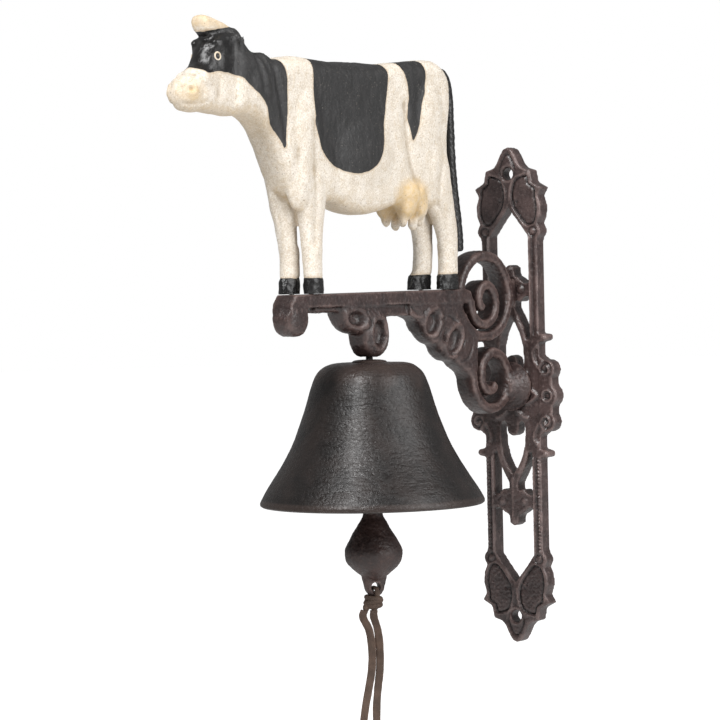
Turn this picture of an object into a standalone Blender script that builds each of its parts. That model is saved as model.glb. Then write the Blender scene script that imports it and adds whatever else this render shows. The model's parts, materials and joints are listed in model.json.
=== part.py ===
"""Wall mounted bell: openwork wall plate, scrolled arm with a cow, hanging bell, clapper and lace.

Frame: the origin is the centre of the plate's back face, on the wall. +Y points into the wall,
the arm reaches toward -Y, and +Z is up. Outlines of the arm and the cow are drawn in
(reach, height), where reach is the distance out from the wall. The script works in metres.
"""
import math

import bmesh
import bpy
from mathutils import Matrix, Vector

MM = 0.001
GAP = 0.3 * MM

# Driving dimensions
BELL_MOUTH = 114.0 * MM
BELL_REACH = 134.4 * MM
BELL_TOP_Z = 22.6 * MM
BELL_RIM_Z = -48.9 * MM
BELL_WALL = 3.6 * MM
PLATE_THICK = 8.0 * MM
SCREW_HOLE_Z = 119.2 * MM
SCREW_HOLE_RADIUS = 3.4 * MM
ARM_HALF_WIDTH = 6.0 * MM
SCROLL_HALF_WIDTH = 5.4 * MM
ARM_TOP_Z = 58.3 * MM
SADDLE_Z = ARM_TOP_Z + GAP
COW_HALF_WIDTH = 10.6 * MM
BOLT_RADIUS = 2.0 * MM
EYE_Z = 4.0 * MM
LUG_HOLE_Z = -90.8 * MM
LACE_RADIUS = 1.5 * MM

# Screws that hold the arm to the plate from behind
UPPER_SCREW_Z = 56.0 * MM
LOWER_SCREW_Z = 8.5 * MM
LOWER_FOOT_Z = 5.0 * MM
SCREW_RADIUS = 1.9 * MM
SCREW_HEAD_RADIUS = 3.9 * MM
SCREW_HEAD_DEPTH = 2.6 * MM
FOOT_FACE = (PLATE_THICK + GAP) / MM

# Fixings inside the cow, as (x, reach) or (reach, z) in mm
SCREWED_HOOF = (2.8, 184.4)
PINNED_HOOVES = ((-3.0, 192.4), (3.0, 71.4), (-3.0, 84.4))
PIN_RADIUS = 1.2 * MM
PIN_LENGTH = 8.8 * MM
PIN_FOOT_Z = 54.4 * MM
FOOT_SCREW_Z = 51.9
FOOT_SCREW_RADIUS = 1.2
BODY_SCREW_X = -11.4
JOIN_REACH = 142.0
JOIN_Z = 136.0
DOWELS = ((205.0, 128.0), (84.0, 150.0))
DOWEL_RADIUS = 1.5 * MM
DOWEL_LENGTH = 8.0 * MM
COW_VOXEL = 1.5 * MM
COW_DETAIL = 0.055

# The bolt's eye, the link on it and the clapper's eye
EYE_RADIUS = 4.3 * MM
EYE_WIRE = 1.5 * MM
LINK_WIRE = 1.2 * MM
LINK_HALF = 3.7 * MM
LINK_TOP_Z = EYE_Z - EYE_RADIUS + EYE_WIRE + LINK_WIRE + GAP
LINK_LENGTH = 12.0 * MM
CLAPPER_PIVOT_Z = LINK_TOP_Z - LINK_LENGTH + 2 * LINK_WIRE + GAP + 0.1 * MM
CLAPPER_EYE_RADIUS = 3.6 * MM
CLAPPER_EYE_WIRE = 1.2 * MM
CLAPPER_SHANK_RADIUS = 1.3 * MM
CLAPPER_SHANK_LENGTH = 9.0 * MM

# The flat lug under the clapper and the lace on it, in mm; the lug is turned about the upright axis
LUG_RADIUS = 4.5
LUG_HALF_THICK = 2.2
LUG_HOLE_RADIUS = 2.2
LUG_TURN = math.radians(-30)
LOOP_WIRE = 1.1
KNOT_DROP = 8.0
KNOT_HALF = (4.2, 5.0, 2.9)

# Routes of the two lace ends, in mm from the lug's hole: (x, reach from the bell axis, height)
LONG_ROUTE = [
    (-2.0, 6.2, -11.4), (-2.6, 6.6, -15), (-1.6, 3.0, -22), (-0.9, 1.9, -32), (-1.0, 2.4, -42),
    (-1.6, 4.6, -52), (-2.2, 7.0, -62), (-2.6, 9.2, -76), (-2.4, 8.6, -94), (-2.2, 7.4, -112),
    (-2.0, 6.6, -130), (-2.0, 6.4, -150), (-2.0, 6.8, -170),
]
SHORT_ROUTE = [
    (1.4, 2.6, -11.6), (1.6, 3.0, -15), (1.6, 0.0, -22), (1.6, -1.4, -32), (1.6, -1.0, -42), (1.4, 0.8, -52),
    (1.4, 2.2, -62), (1.6, 2.4, -76), (2.0, 1.4, -94), (2.2, 0.2, -112), (2.2, -0.6, -130), (2.0, -0.6, -154),
]

# Materials: colour, roughness, metallic
FINISHES = {
    "cast_brown": ((0.055, 0.030, 0.026), 0.60, 0.55),
    "bell_black": ((0.022, 0.017, 0.015), 0.45, 0.60),
    "cow_paint": ((0.72, 0.65, 0.54), 0.70, 0.0),
    "plated_steel": ((0.42, 0.41, 0.39), 0.35, 1.0),
    "dark_steel": ((0.060, 0.055, 0.050), 0.45, 0.9),
    "brown_leather": ((0.085, 0.042, 0.026), 0.75, 0.0),
}

ARM_TURN = Matrix(((0, 0, -1), (-1, 0, 0), (0, 1, 0))).to_4x4()
PLATE_TURN = Matrix.Rotation(math.radians(90), 4, "X")
BELL_AXIS = Matrix.Translation((0, -BELL_REACH, 0))
LUG_FRAME = Matrix.Translation((0, -BELL_REACH, LUG_HOLE_Z)) @ Matrix.Rotation(LUG_TURN, 4, "Z")


def clear_scene():
    for item in list(bpy.data.objects):
        bpy.data.objects.remove(item)


def new_collection(name):
    collection = bpy.data.collections.new(name)
    bpy.context.scene.collection.children.link(collection)
    return collection


def make_finishes():
    made = {}
    for name, (colour, roughness, metallic) in FINISHES.items():
        material = bpy.data.materials.new(name)
        material.use_nodes = True
        shader = material.node_tree.nodes["Principled BSDF"]
        shader.inputs["Base Color"].default_value = (*colour, 1.0)
        shader.inputs["Roughness"].default_value = roughness
        shader.inputs["Metallic"].default_value = metallic
        made[name] = material
    return made


clear_scene()
PARTS = new_collection("wall_bell")
CUTTERS = new_collection("cutters")
MATERIALS = make_finishes()


def place(name, mesh, finish, matrix=None):
    """A finished part, smooth where its faces meet gently."""
    mesh.name = name
    mesh.materials.clear()
    mesh.materials.append(MATERIALS[finish])
    mesh.shade_smooth()
    mesh.set_sharp_from_angle(angle=math.radians(35))
    part = bpy.data.objects.new(name, mesh)
    PARTS.objects.link(part)
    if matrix is not None:
        part.matrix_world = matrix
    return part


def cutter(name, mesh, matrix=None):
    """A guide solid that is joined to a part or cut out of it."""
    guide = bpy.data.objects.new(name, mesh)
    CUTTERS.objects.link(guide)
    guide.hide_render = True
    guide.display_type = "WIRE"
    if matrix is not None:
        guide.matrix_world = matrix
    return guide


def combine(part, guide, operation):
    step = part.modifiers.new(guide.name, "BOOLEAN")
    step.operation = operation
    step.object = guide
    step.solver = "EXACT"


def baked(thing):
    """The evaluated mesh of an object, welded; the object itself is removed."""
    depsgraph = bpy.context.evaluated_depsgraph_get()
    depsgraph.update()
    mesh = bpy.data.meshes.new_from_object(thing.evaluated_get(depsgraph))
    work = bmesh.new()
    work.from_mesh(mesh)
    bmesh.ops.remove_doubles(work, verts=work.verts, dist=0.01 * MM)
    bmesh.ops.recalc_face_normals(work, faces=work.faces)
    work.to_mesh(mesh)
    work.free()
    bpy.data.objects.remove(thing)
    return mesh


def curve_object(name, dimensions="3D"):
    data = bpy.data.curves.new(name, "CURVE")
    data.dimensions = dimensions
    thing = bpy.data.objects.new(name, data)
    CUTTERS.objects.link(thing)
    return thing


def add_poly(data, points, cyclic):
    spline = data.splines.new("POLY")
    spline.points.add(len(points) - 1)
    for knot, point in zip(spline.points, points):
        knot.co = (*point, 1.0) if len(point) == 3 else (point[0], point[1], 0.0, 1.0)
    spline.use_cyclic_u = cyclic
    return spline


def outline_mesh(name, loops, half_thickness, bevel=0.0):
    """A flat outline with its holes, filled and thickened both ways."""
    thing = curve_object(name, "2D")
    thing.data.fill_mode = "BOTH"
    thing.data.extrude = half_thickness - bevel
    thing.data.bevel_depth = bevel
    thing.data.bevel_resolution = 1
    thing.data.offset = -bevel
    for loop in loops:
        add_poly(thing.data, [(a * MM, b * MM) for a, b in loop], True)
    return baked(thing)


def tube_mesh(name, points, radius, cyclic=False, resolution=2):
    thing = curve_object(name)
    thing.data.bevel_depth = radius
    thing.data.bevel_resolution = resolution
    thing.data.use_fill_caps = not cyclic
    add_poly(thing.data, points, cyclic)
    return baked(thing)


def turned_mesh(name, profile, steps):
    """A closed (radius, height) profile turned about Z; it runs down its outer side first."""
    mesh = bpy.data.meshes.new(name)
    verts = [(radius * MM, 0.0, height * MM) for radius, height in profile]
    edges = [(i, i + 1) for i in range(len(verts) - 1)]
    if profile[0][0] > 0.0:
        edges.append((len(verts) - 1, 0))
    mesh.from_pydata(verts, edges, [])
    thing = bpy.data.objects.new(name, mesh)
    CUTTERS.objects.link(thing)
    screw = thing.modifiers.new("turn", "SCREW")
    screw.steps = steps
    screw.render_steps = steps
    screw.use_merge_vertices = True
    screw.merge_threshold = 0.01 * MM
    return baked(thing)


def rod_mesh(radius, length, segments=16, tip_radius=None):
    """A rod along +Z from its origin."""
    work = bmesh.new()
    tip = radius if tip_radius is None else tip_radius
    lift = Matrix.Translation((0, 0, length / 2))
    bmesh.ops.create_cone(
        work, cap_ends=True, segments=segments, radius1=radius, radius2=tip, depth=length, matrix=lift
    )
    mesh = bpy.data.meshes.new("rod")
    work.to_mesh(mesh)
    work.free()
    return mesh


def ball_mesh(centre, radii, segments=16, rings=10):
    work = bmesh.new()
    bmesh.ops.create_uvsphere(work, u_segments=segments, v_segments=rings, radius=1.0)
    mesh = bpy.data.meshes.new("ball")
    work.to_mesh(mesh)
    work.free()
    size = Matrix.Diagonal((radii[0] * MM, radii[1] * MM, radii[2] * MM, 1.0))
    mesh.transform(Matrix.Translation([value * MM for value in centre]) @ size)
    return mesh


def loft_mesh(sections, sides=14):
    """A closed skin through level ellipses (x, reach, z, half width in x, half depth), top first."""
    work = bmesh.new()
    rings = []
    for x, reach, z, half_x, half_reach in sections:
        ring = []
        for i in range(sides):
            angle = 2 * math.pi * i / sides
            side = x + half_x * math.cos(angle)
            out = reach + half_reach * math.sin(angle)
            ring.append(work.verts.new((side * MM, -out * MM, z * MM)))
        rings.append(ring)
    for upper, lower in zip(rings, rings[1:]):
        for i in range(sides):
            j = (i + 1) % sides
            work.faces.new((upper[i], upper[j], lower[j], lower[i]))
    work.faces.new(rings[0])
    work.faces.new(rings[-1])
    bmesh.ops.recalc_face_normals(work, faces=work.faces)
    mesh = bpy.data.meshes.new("loft")
    work.to_mesh(mesh)
    work.free()
    return mesh


def arc(cx, cy, radius, start, end, steps):
    """Points on a circular arc, angles in degrees."""
    points = []
    for i in range(steps + 1):
        angle = math.radians(start + (end - start) * i / steps)
        points.append((cx + radius * math.cos(angle), cy + radius * math.sin(angle)))
    return points


def ribbon(cx, cy, stations, width, steps):
    """A scroll strip: its outer edge passes the (angle, radius) stations, angles in degrees."""
    outer = []
    inner = []
    for (a0, r0), (a1, r1) in zip(stations, stations[1:]):
        for i in range(steps):
            t = i / steps
            outer.append((a0 + (a1 - a0) * t, r0 + (r1 - r0) * t))
    outer.append(stations[-1])
    for angle, radius in outer:
        inner.append((angle, max(radius - width, 0.6)))
    loop = []
    for angle, radius in outer + inner[::-1]:
        turn = math.radians(angle)
        loop.append((cx - radius * math.cos(turn), cy + radius * math.sin(turn)))
    return loop


# ---------------------------------------------------------------- wall plate

def mirrored(half):
    """A loop from its right half, drawn from the upper centre line down to the lower one."""
    left = [(-x, z) for x, z in reversed(half) if abs(x) > 0.01]
    return half + left


def plate_outline():
    """Outer edge of the plate, right side, from the upper tip to the middle."""
    upper = [(0, 133.5), (2.6, 132.4), (5.0, 128.8), (7.2, 124.4), (9.2, 122.4), (14.2, 121.0)]
    upper += [(15.6, 114.6), (21.5, 111.4), (19.0, 107.2), (20.6, 102.0), (20.4, 96.6), (18.4, 92.4)]
    upper += arc(15.8, 88.3, 4.3, 40, -55, 4)
    upper += [(17.8, 82.6), (17.8, 33.4)]
    upper += arc(21.0, 31.2, 1.9, 75, -75, 3)
    upper += [(17.8, 28.6), (17.8, 21.5)]
    upper += arc(22.0, 14.0, 5.4, 100, -45, 6)
    upper += arc(22.4, 0.0, 6.4, 55, 0, 3)
    lower = [(x, -z) for x, z in reversed(upper[:-1])]
    return mirrored(upper + lower)


def plate_windows(sign):
    """Openings of the upper (sign 1) or lower (sign -1) half of the plate."""
    big = mirrored([(0, 101.0), (7.0, 92.6), (12.4, 85.6), (12.4, 60.4), (9.0, 60.6), (6.4, 63.0),
                    (3.2, 64.6), (2.6, 69.0), (0, 70.4)])
    side = [(12.4, 30.4), (12.4, 53.6), (9.2, 53.0), (6.8, 50.4), (3.0, 51.4), (2.7, 47.2),
            (5.2, 43.0), (8.6, 36.6), (10.2, 30.4)]
    heart = [(0, 42.6), (3.2, 38.4), (5.9, 33.0), (7.7, 26.6), (8.2, 19.6), (8.0, 15.6), (6.0, 13.2),
             (4.0, 14.6), (3.4, 18.6), (2.4, 20.8), (0, 21.8)]
    loops = [big, side, [(-x, z) for x, z in side], mirrored(heart)]
    return [[(x, sign * z) for x, z in loop] for loop in loops]


def make_plate():
    hole = SCREW_HOLE_RADIUS / MM
    loops = [plate_outline()]
    for sign in (1, -1):
        loops += plate_windows(sign)
        loops.append(arc(0, sign * SCREW_HOLE_Z / MM, hole, 0, 345, 23))
    mesh = outline_mesh("wall_plate", loops, PLATE_THICK / 2)
    middle = Matrix.Translation((0, -PLATE_THICK / 2, 0)) @ PLATE_TURN
    plate = place("wall_plate", mesh, "cast_brown", middle)
    for z in (UPPER_SCREW_Z, LOWER_SCREW_Z):
        combine(plate, screw_cutter(z, 0.0, PLATE_THICK), "DIFFERENCE")
    return plate


# ---------------------------------------------------------------- arm bracket

def into_room(reach, z, x=0.0):
    """A frame at a reach and height whose +Z points out from the wall."""
    return Matrix.Translation((x, -reach, z)) @ PLATE_TURN


def screw_profile(head_radius, head_depth, radius, length, recess=1.2):
    """A countersunk screw with a conical drive recess, head at the origin, shank up +Z."""
    return [
        (0, length), (radius * 0.8, length), (radius, length - 0.8), (radius, head_depth),
        (head_radius, 0.4), (head_radius, 0), (head_radius * 0.45, 0), (0, recess),
    ]


def screw_cutter(z, start, end):
    head = SCREW_HEAD_RADIUS / MM + 0.3
    shank = SCREW_RADIUS / MM + 0.3
    depth = SCREW_HEAD_DEPTH / MM + 0.5
    length = (end - start) / MM
    profile = [(0, length + 1), (shank, length + 1), (shank, depth), (head, 0.7), (head, -1), (0, -1)]
    return cutter("screw_seat", turned_mesh("screw_seat", profile, 20), into_room(start, z))


# Scrolls: (angle, radius) stations of the outer edge, in degrees and mm
UPPER_RING = [(205, 25.5), (270, 23.6), (360, 24.6), (450, 23.4), (535, 25.0)]
UPPER_CURL = [(172, 15.5), (270, 14.0), (360, 12.2), (450, 11.2), (540, 7.4), (600, 5.2)]
LOWER_SCROLL = [
    (165, 20.5), (225, 18.4), (300, 17.4), (360, 17.2), (450, 16.8), (540, 12.4), (620, 8.0), (680, 5.4),
]


def make_arm():
    flange = [(60, 51.6), (190, 51.8), (197, 46), (204.6, 49), (203.6, 54), (200.2, 58.3), (60, 58.3)]
    mesh = outline_mesh("arm_flange", [flange], ARM_HALF_WIDTH)
    arm = place("arm_bracket", mesh, "cast_brown", ARM_TURN)

    def add(name, loops, half_width):
        combine(arm, cutter(name, outline_mesh(name, loops, half_width), ARM_TURN), "UNION")

    add("front_curl", [arc(197.6, 46.0, 7.5, 0, 345, 23)], 5.6 * MM)
    web = [(192, 53), (192, 49.4), (166, 49.4), (126, 46.2), (98, 45.8), (70, 46), (58, 50), (58, 53)]
    add("arm_web", [web], 3.1 * MM)
    lobe = [(163.5, 52.5), (161.6, 48.4), (159.0, 43.6), (155.4, 40.4), (150.4, 38.6), (145, 38.4),
            (138, 40), (130, 47), (130, 52.5)]
    add("hanger_lobe", [lobe, arc(151.4, 47.2, 1.6, 0, 330, 11)], 5.0 * MM)
    add("hanger_scroll", [arc(BELL_REACH / MM, 36.2, 10.2, 0, 345, 23)], SCROLL_HALF_WIDTH)
    add("hanger_neck", [[(141, 52.5), (141, 41), (126, 41), (126, 52.5)]], 4.8 * MM)
    leaf = [(106, 53), (105, 46), (97.5, 43.6), (92.5, 37.0), (85.6, 31.4), (80.6, 31.0), (77.4, 26.4),
            (71.6, 22.2), (66.0, 21.8), (61.4, 18.4), (54.4, 14.6), (49.4, 9.0), (46, 16), (45.6, 26),
            (45, 33.5), (52, 38.5), (57.5, 46), (58, 53)]
    ovals = [oval(81.9, 47.4, 1.7, 1.6, 0, 10), oval(75.2, 33.4, 1.3, 3.4, -8, 10)]
    add("leaf", [leaf] + ovals, 5.0 * MM)
    rings = [
        (37.0, 54.2, UPPER_RING, 4.4, 7),
        (37.2, 51.0, UPPER_CURL, 4.2, 5),
        (31.4, 9.8, LOWER_SCROLL, 4.4, 4),
    ]
    for number, (reach, z, stations, width, steps) in enumerate(rings):
        add("scroll_%d" % number, [ribbon(reach, z, stations, width, steps)], SCROLL_HALF_WIDTH)
    add("curl_root", [[(64, 51.6), (64, 58.3), (50, 57.4), (49.6, 51.4)]], SCROLL_HALF_WIDTH - 0.2 * MM)
    add("upper_foot", [[(FOOT_FACE, 47), (FOOT_FACE, 63), (16.6, 60), (16.6, 50)]], 4.6 * MM)
    foot = turned_mesh("lower_foot", [(0, 11), (7.4, 11), (9.0, 6.5), (13.6, 0.0), (0, 0)], 28)
    combine(arm, cutter("lower_foot", foot, into_room(FOOT_FACE * MM, LOWER_FOOT_Z)), "UNION")
    cut_arm_recesses(arm)
    cut_arm_seats(arm)
    return arm


def cut_arm_recesses(arm):
    """Oval recesses on both faces of the hanger, the lobe and the leaf."""
    recesses = [(BELL_REACH / MM - 1.4, 37.4, 4.9, 6.6, 0), (86.4, 41.2, 4.6, 6.4, 42),
                (67.4, 31.4, 4.4, 7.4, 36), (151.4, 45.4, 6.4, 3.6, 4)]
    floor = 3.0 * MM
    for number, (reach, z, half_reach, half_z, tilt) in enumerate(recesses):
        loop = oval(reach, z, half_reach, half_z, tilt, 16)
        for side in (1, -1):
            deep = outline_mesh("recess", [loop], 3 * MM)
            shift = Matrix.Translation((side * (floor + 3 * MM), 0, 0))
            combine(arm, cutter("recess_%d" % number, deep, shift @ ARM_TURN), "DIFFERENCE")


def cut_arm_seats(arm):
    """The bolt's bore, the tapped holes and the seats under the cow's hoofs."""
    bore = rod_mesh(BOLT_RADIUS + GAP, 16 * MM)
    combine(arm, cutter("bolt_bore", bore, Matrix.Translation((0, -BELL_REACH, 22 * MM))), "DIFFERENCE")
    for z, depth in ((UPPER_SCREW_Z, 6.6 * MM), (LOWER_SCREW_Z, 8.4 * MM)):
        tapped = rod_mesh(SCREW_RADIUS + GAP, depth + 1 * MM)
        seat = into_room(PLATE_THICK + GAP - 1 * MM, z)
        combine(arm, cutter("tapped_hole", tapped, seat), "DIFFERENCE")
    x, reach = SCREWED_HOOF
    below = Matrix.Translation((x * MM, -reach * MM, 51.0 * MM))
    clear = FOOT_SCREW_RADIUS + GAP / MM
    profile = [(0, 8), (clear, 8), (clear, 2.9), (3.1, 1.2), (3.1, -2), (0, -2)]
    combine(arm, cutter("foot_screw_seat", turned_mesh("seat", profile, 16), below), "DIFFERENCE")
    for x, reach in PINNED_HOOVES:
        pin = rod_mesh(PIN_RADIUS + GAP, 10 * MM)
        seat = Matrix.Translation((x * MM, -reach * MM, PIN_FOOT_Z - 0.4 * MM))
        combine(arm, cutter("pin_seat", pin, seat), "DIFFERENCE")


def oval(cx, cy, half_a, half_b, tilt, count):
    turn = math.radians(tilt)
    points = []
    for i in range(count):
        angle = 2 * math.pi * i / count
        a = half_a * math.cos(angle)
        b = half_b * math.sin(angle)
        across = a * math.cos(turn) - b * math.sin(turn)
        along = a * math.sin(turn) + b * math.cos(turn)
        points.append((cx + across, cy + along))
    return points


def make_arm_screws():
    screws = (("arm_screw_upper", UPPER_SCREW_Z, 14.0), ("arm_screw_lower", LOWER_SCREW_Z, 15.6))
    for name, z, length in screws:
        profile = screw_profile(SCREW_HEAD_RADIUS / MM, SCREW_HEAD_DEPTH / MM, SCREW_RADIUS / MM, length)
        place(name, turned_mesh(name, profile, 20), "plated_steel", into_room(0.5 * MM, z))


# ---------------------------------------------------------------- cow

def cow_body_outline():
    """Back, rump, belly, chest and neck in (reach, height)."""
    return [
        (246, 186.5), (240, 182.5), (234, 177.4), (224, 173.2), (212, 172.4), (198, 174.4), (180, 173.4),
        (154, 172.2), (136, 172.4), (118, 174.2), (101, 175.6), (88, 176.8), (80, 175.6), (73.5, 171),
        (70.4, 164), (70.6, 152), (73, 138), (73, 124), (75, 108), (80, 101), (96, 101), (114, 102.4),
        (128, 99.4), (144, 97.2), (158, 99.2), (170, 103.2), (186, 103), (198, 104.6), (205.5, 111),
        (210.5, 120), (215.4, 129), (222, 138.6), (232, 144.6), (246, 146), (248, 160), (247, 178),
    ]


def cow_head_outline():
    return [
        (238, 184), (247, 185.4), (253, 184), (258, 180), (261.4, 173.4), (264, 168), (270, 163.2),
        (272, 147.6), (262, 146), (250, 145), (238, 145.4), (230, 160),
    ]


def leg_sections():
    """Each leg: (x, reach, z, half x, half reach) from the body down to below the hoof."""
    return [
        [(6, 187.6, 118, 5.2, 13), (5.2, 186.4, 102, 5.4, 9.8), (4.8, 185.6, 90, 4.5, 7.0),
         (4.6, 185, 82, 4.2, 5.8), (4.6, 184.8, 76, 4.0, 5.0), (4.6, 184.6, 66.5, 4.0, 5.2),
         (4.6, 184.6, 65, 4.3, 6.0), (4.6, 184.4, 56, 4.3, 6.4)],
        [(-6, 195, 118, 5.2, 13), (-5.2, 194.2, 102, 5.4, 10.2), (-4.8, 193, 90, 4.5, 7.4),
         (-4.6, 192, 82, 4.2, 6.6), (-4.6, 191.4, 76, 4.0, 6.2), (-4.6, 191.6, 66.5, 4.0, 6.2),
         (-4.6, 191.9, 65, 4.3, 6.4), (-4.6, 192.4, 56, 4.3, 6.6)],
        [(6, 84, 128, 5.2, 15), (5.4, 81, 112, 5.2, 12.6), (4.8, 76.4, 100, 4.8, 10.6),
         (4.6, 72.6, 91, 4.4, 8.6), (4.6, 70.8, 80, 4.2, 7.0), (4.6, 70.8, 68, 4.2, 6.8),
         (4.6, 71.2, 66, 4.3, 7.6), (4.6, 71.4, 56, 4.3, 8.2)],
        [(-6, 88, 128, 5.2, 15), (-5.4, 87, 112, 5.2, 12.6), (-4.8, 84, 100, 4.8, 10.2),
         (-4.6, 81, 91, 4.4, 8.0), (-4.6, 80, 80, 4.2, 6.6), (-4.6, 81.4, 68, 4.2, 6.8),
         (-4.6, 83.4, 66, 4.3, 8.4), (-4.6, 84.4, 56, 4.3, 8.8)],
    ]


def cow_masses():
    """Ellipsoids: (x, reach, z) and half sizes (x, reach, z)."""
    masses = [
        ((0, 271.6, 154.4), (9.2, 9.2, 9.4)),
        ((0, 252.6, 168), (8.6, 9.8, 13.2)),
        ((0, 252.0, 186.6), (5.2, 8.4, 4.6)),
        ((0, 258.0, 188.6), (4.0, 3.2, 3.4)),
        ((0, 189, 100), (3.6, 7.6, 20)),
    ]
    for side in (1, -1):
        masses += [
            ((side * 4.4, 190, 138), (7.8, 19, 33)),
            ((side * 4.4, 91, 142), (7.8, 18, 33)),
            ((side * 3.2, 143, 128), (9.2, 40, 30)),
            ((side * 5.0, 104, 107.5), (8.0, 14.5, 12.5)),
        ]
        for reach in (94.6, 104.0):
            masses.append(((side * 4.6, reach, 95.4), (2.6, 2.8, 5.8)))
    return masses


def tail_points():
    return [
        (74, 171), (69.6, 167), (67.2, 158), (66.4, 140), (65.6, 122), (63.6, 106), (61.2, 92), (60.6, 82),
    ]


def joined_mesh(name, meshes):
    work = bmesh.new()
    for mesh in meshes:
        work.from_mesh(mesh)
    mesh = bpy.data.meshes.new(name)
    work.to_mesh(mesh)
    work.free()
    return mesh


def cow_skin():
    """The whole figure as one closed skin, cut flat under the hoofs."""
    body = outline_mesh("cow_body", [cow_body_outline()], COW_HALF_WIDTH, 8.0 * MM)
    head = outline_mesh("cow_head", [cow_head_outline()], 8.4 * MM, 6.0 * MM)
    body.transform(ARM_TURN)
    head.transform(ARM_TURN)
    solids = [body, head]
    solids += [loft_mesh(sections) for sections in leg_sections()]
    solids += [ball_mesh((x, -reach, z), radii) for (x, reach, z), radii in cow_masses()]
    tail = [(3.7 * MM, -reach * MM, z * MM) for reach, z in tail_points()]
    solids.append(tube_mesh("cow_tail", tail, 3.1 * MM))
    thing = bpy.data.objects.new("cow_skin", joined_mesh("cow_skin", solids))
    CUTTERS.objects.link(thing)
    blend = thing.modifiers.new("blend", "REMESH")
    blend.mode = "VOXEL"
    blend.voxel_size = COW_VOXEL
    blend.use_smooth_shade = True
    ease = thing.modifiers.new("ease", "SMOOTH")
    ease.factor = 0.5
    ease.iterations = 3
    thin = thing.modifiers.new("thin", "DECIMATE")
    thin.ratio = COW_DETAIL
    thin.use_collapse_triangulate = True
    return baked(thing)


def cut_by_plane(mesh, point, normal):
    """Keeps the side the normal points away from and closes the cut."""
    work = bmesh.new()
    work.from_mesh(mesh)
    bmesh.ops.bisect_plane(
        work, geom=work.verts[:] + work.edges[:] + work.faces[:], dist=0.001 * MM,
        plane_co=point, plane_no=normal, clear_outer=True,
    )
    rim = [edge for edge in work.edges if edge.is_boundary]
    bmesh.ops.triangle_fill(work, edges=rim, use_beauty=True, use_dissolve=False)
    bmesh.ops.recalc_face_normals(work, faces=work.faces)
    result = bpy.data.meshes.new("cut")
    work.to_mesh(result)
    work.free()
    return result


def across(x, reach, z):
    """A frame whose +Z points along +X."""
    return Matrix.Translation((x * MM, -reach * MM, z * MM)) @ Matrix.Rotation(math.radians(90), 4, "Y")


def upright(x, reach, z):
    return Matrix.Translation((x * MM, -reach * MM, z * MM))


def make_cow():
    skin = cut_by_plane(cow_skin(), (0, 0, SADDLE_Z), (0, 0, -1))
    halves = {}
    for name, side in (("cow_near_half", 1), ("cow_far_half", -1)):
        mesh = cut_by_plane(skin, (side * GAP / 2, 0, 0), (-side, 0, 0))
        half = place(name, mesh, "cow_paint")
        halves[side] = half
        for number, core in enumerate(cow_cores()):
            combine(half, cutter("core_%d" % number, core), "DIFFERENCE")
        for reach, z in DOWELS:
            hole = rod_mesh(DOWEL_RADIUS + GAP, DOWEL_LENGTH + 0.8 * MM, 12)
            combine(half, cutter("dowel_hole", hole, across(-4.4, reach, z)), "DIFFERENCE")
        for x, reach in PINNED_HOOVES:
            if x * side > 0:
                hole = rod_mesh(PIN_RADIUS + GAP, 7 * MM, 12)
                combine(half, cutter("hoof_hole", hole, upright(x, reach, 57)), "DIFFERENCE")
    hole = rod_mesh(FOOT_SCREW_RADIUS * MM + GAP, 12 * MM, 12)
    combine(halves[1], cutter("foot_hole", hole, upright(*SCREWED_HOOF, 57)), "DIFFERENCE")
    tapped = rod_mesh(SCREW_RADIUS + GAP, 8 * MM)
    combine(halves[1], cutter("body_tapped", tapped, across(-1, JOIN_REACH, JOIN_Z)), "DIFFERENCE")
    profile = [(0, 16), (2.2, 16), (2.2, 4.6), (4.6, 2.6), (4.6, -4), (0, -4)]
    seat = turned_mesh("seat", profile, 20)
    place_at = across(BODY_SCREW_X - 1.2, JOIN_REACH, JOIN_Z)
    combine(halves[-1], cutter("body_seat", seat, place_at), "DIFFERENCE")


def cow_cores():
    """The two hollows inside the cow, either side of the rib that takes the body screw."""
    cores = []
    corner = 8.0
    for start, end, low, high in ((153, 200, 118, 162), (84, 131, 120, 164)):
        corners = [
            (end, high, 0, 1, 1), (start, high, 90, -1, 1), (start, low, 180, -1, -1), (end, low, 270, 1, -1),
        ]
        loop = []
        for reach, z, turn, outward, upward in corners:
            loop += arc(reach - outward * corner, z - upward * corner, corner, turn, turn + 90, 3)
        mesh = outline_mesh("core", [loop], 8.0 * MM, 2.0 * MM)
        mesh.transform(ARM_TURN)
        cores.append(mesh)
    return cores


def make_cow_fixings():
    screw = turned_mesh("cow_body_screw", screw_profile(4.2, 2.4, SCREW_RADIUS / MM, 17.6), 20)
    place("cow_body_screw", screw, "plated_steel", across(BODY_SCREW_X, JOIN_REACH, JOIN_Z))
    for name, (reach, z) in zip(("cow_dowel_front", "cow_dowel_rear"), DOWELS):
        dowel = rod_mesh(DOWEL_RADIUS, DOWEL_LENGTH, 16)
        place(name, dowel, "plated_steel", across(-DOWEL_LENGTH / MM / 2, reach, z))
    screw = turned_mesh("cow_foot_screw", screw_profile(2.8, 1.7, FOOT_SCREW_RADIUS, 16.0, 0.8), 16)
    place("cow_foot_screw", screw, "plated_steel", upright(*SCREWED_HOOF, FOOT_SCREW_Z))
    names = ("cow_hoof_pin_front", "cow_hoof_pin_rear_near", "cow_hoof_pin_rear_far")
    for name, (x, reach) in zip(names, PINNED_HOOVES):
        place(name, rod_mesh(PIN_RADIUS, PIN_LENGTH, 12), "plated_steel", upright(x, reach, PIN_FOOT_Z / MM))


# ---------------------------------------------------------------- bell

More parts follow.
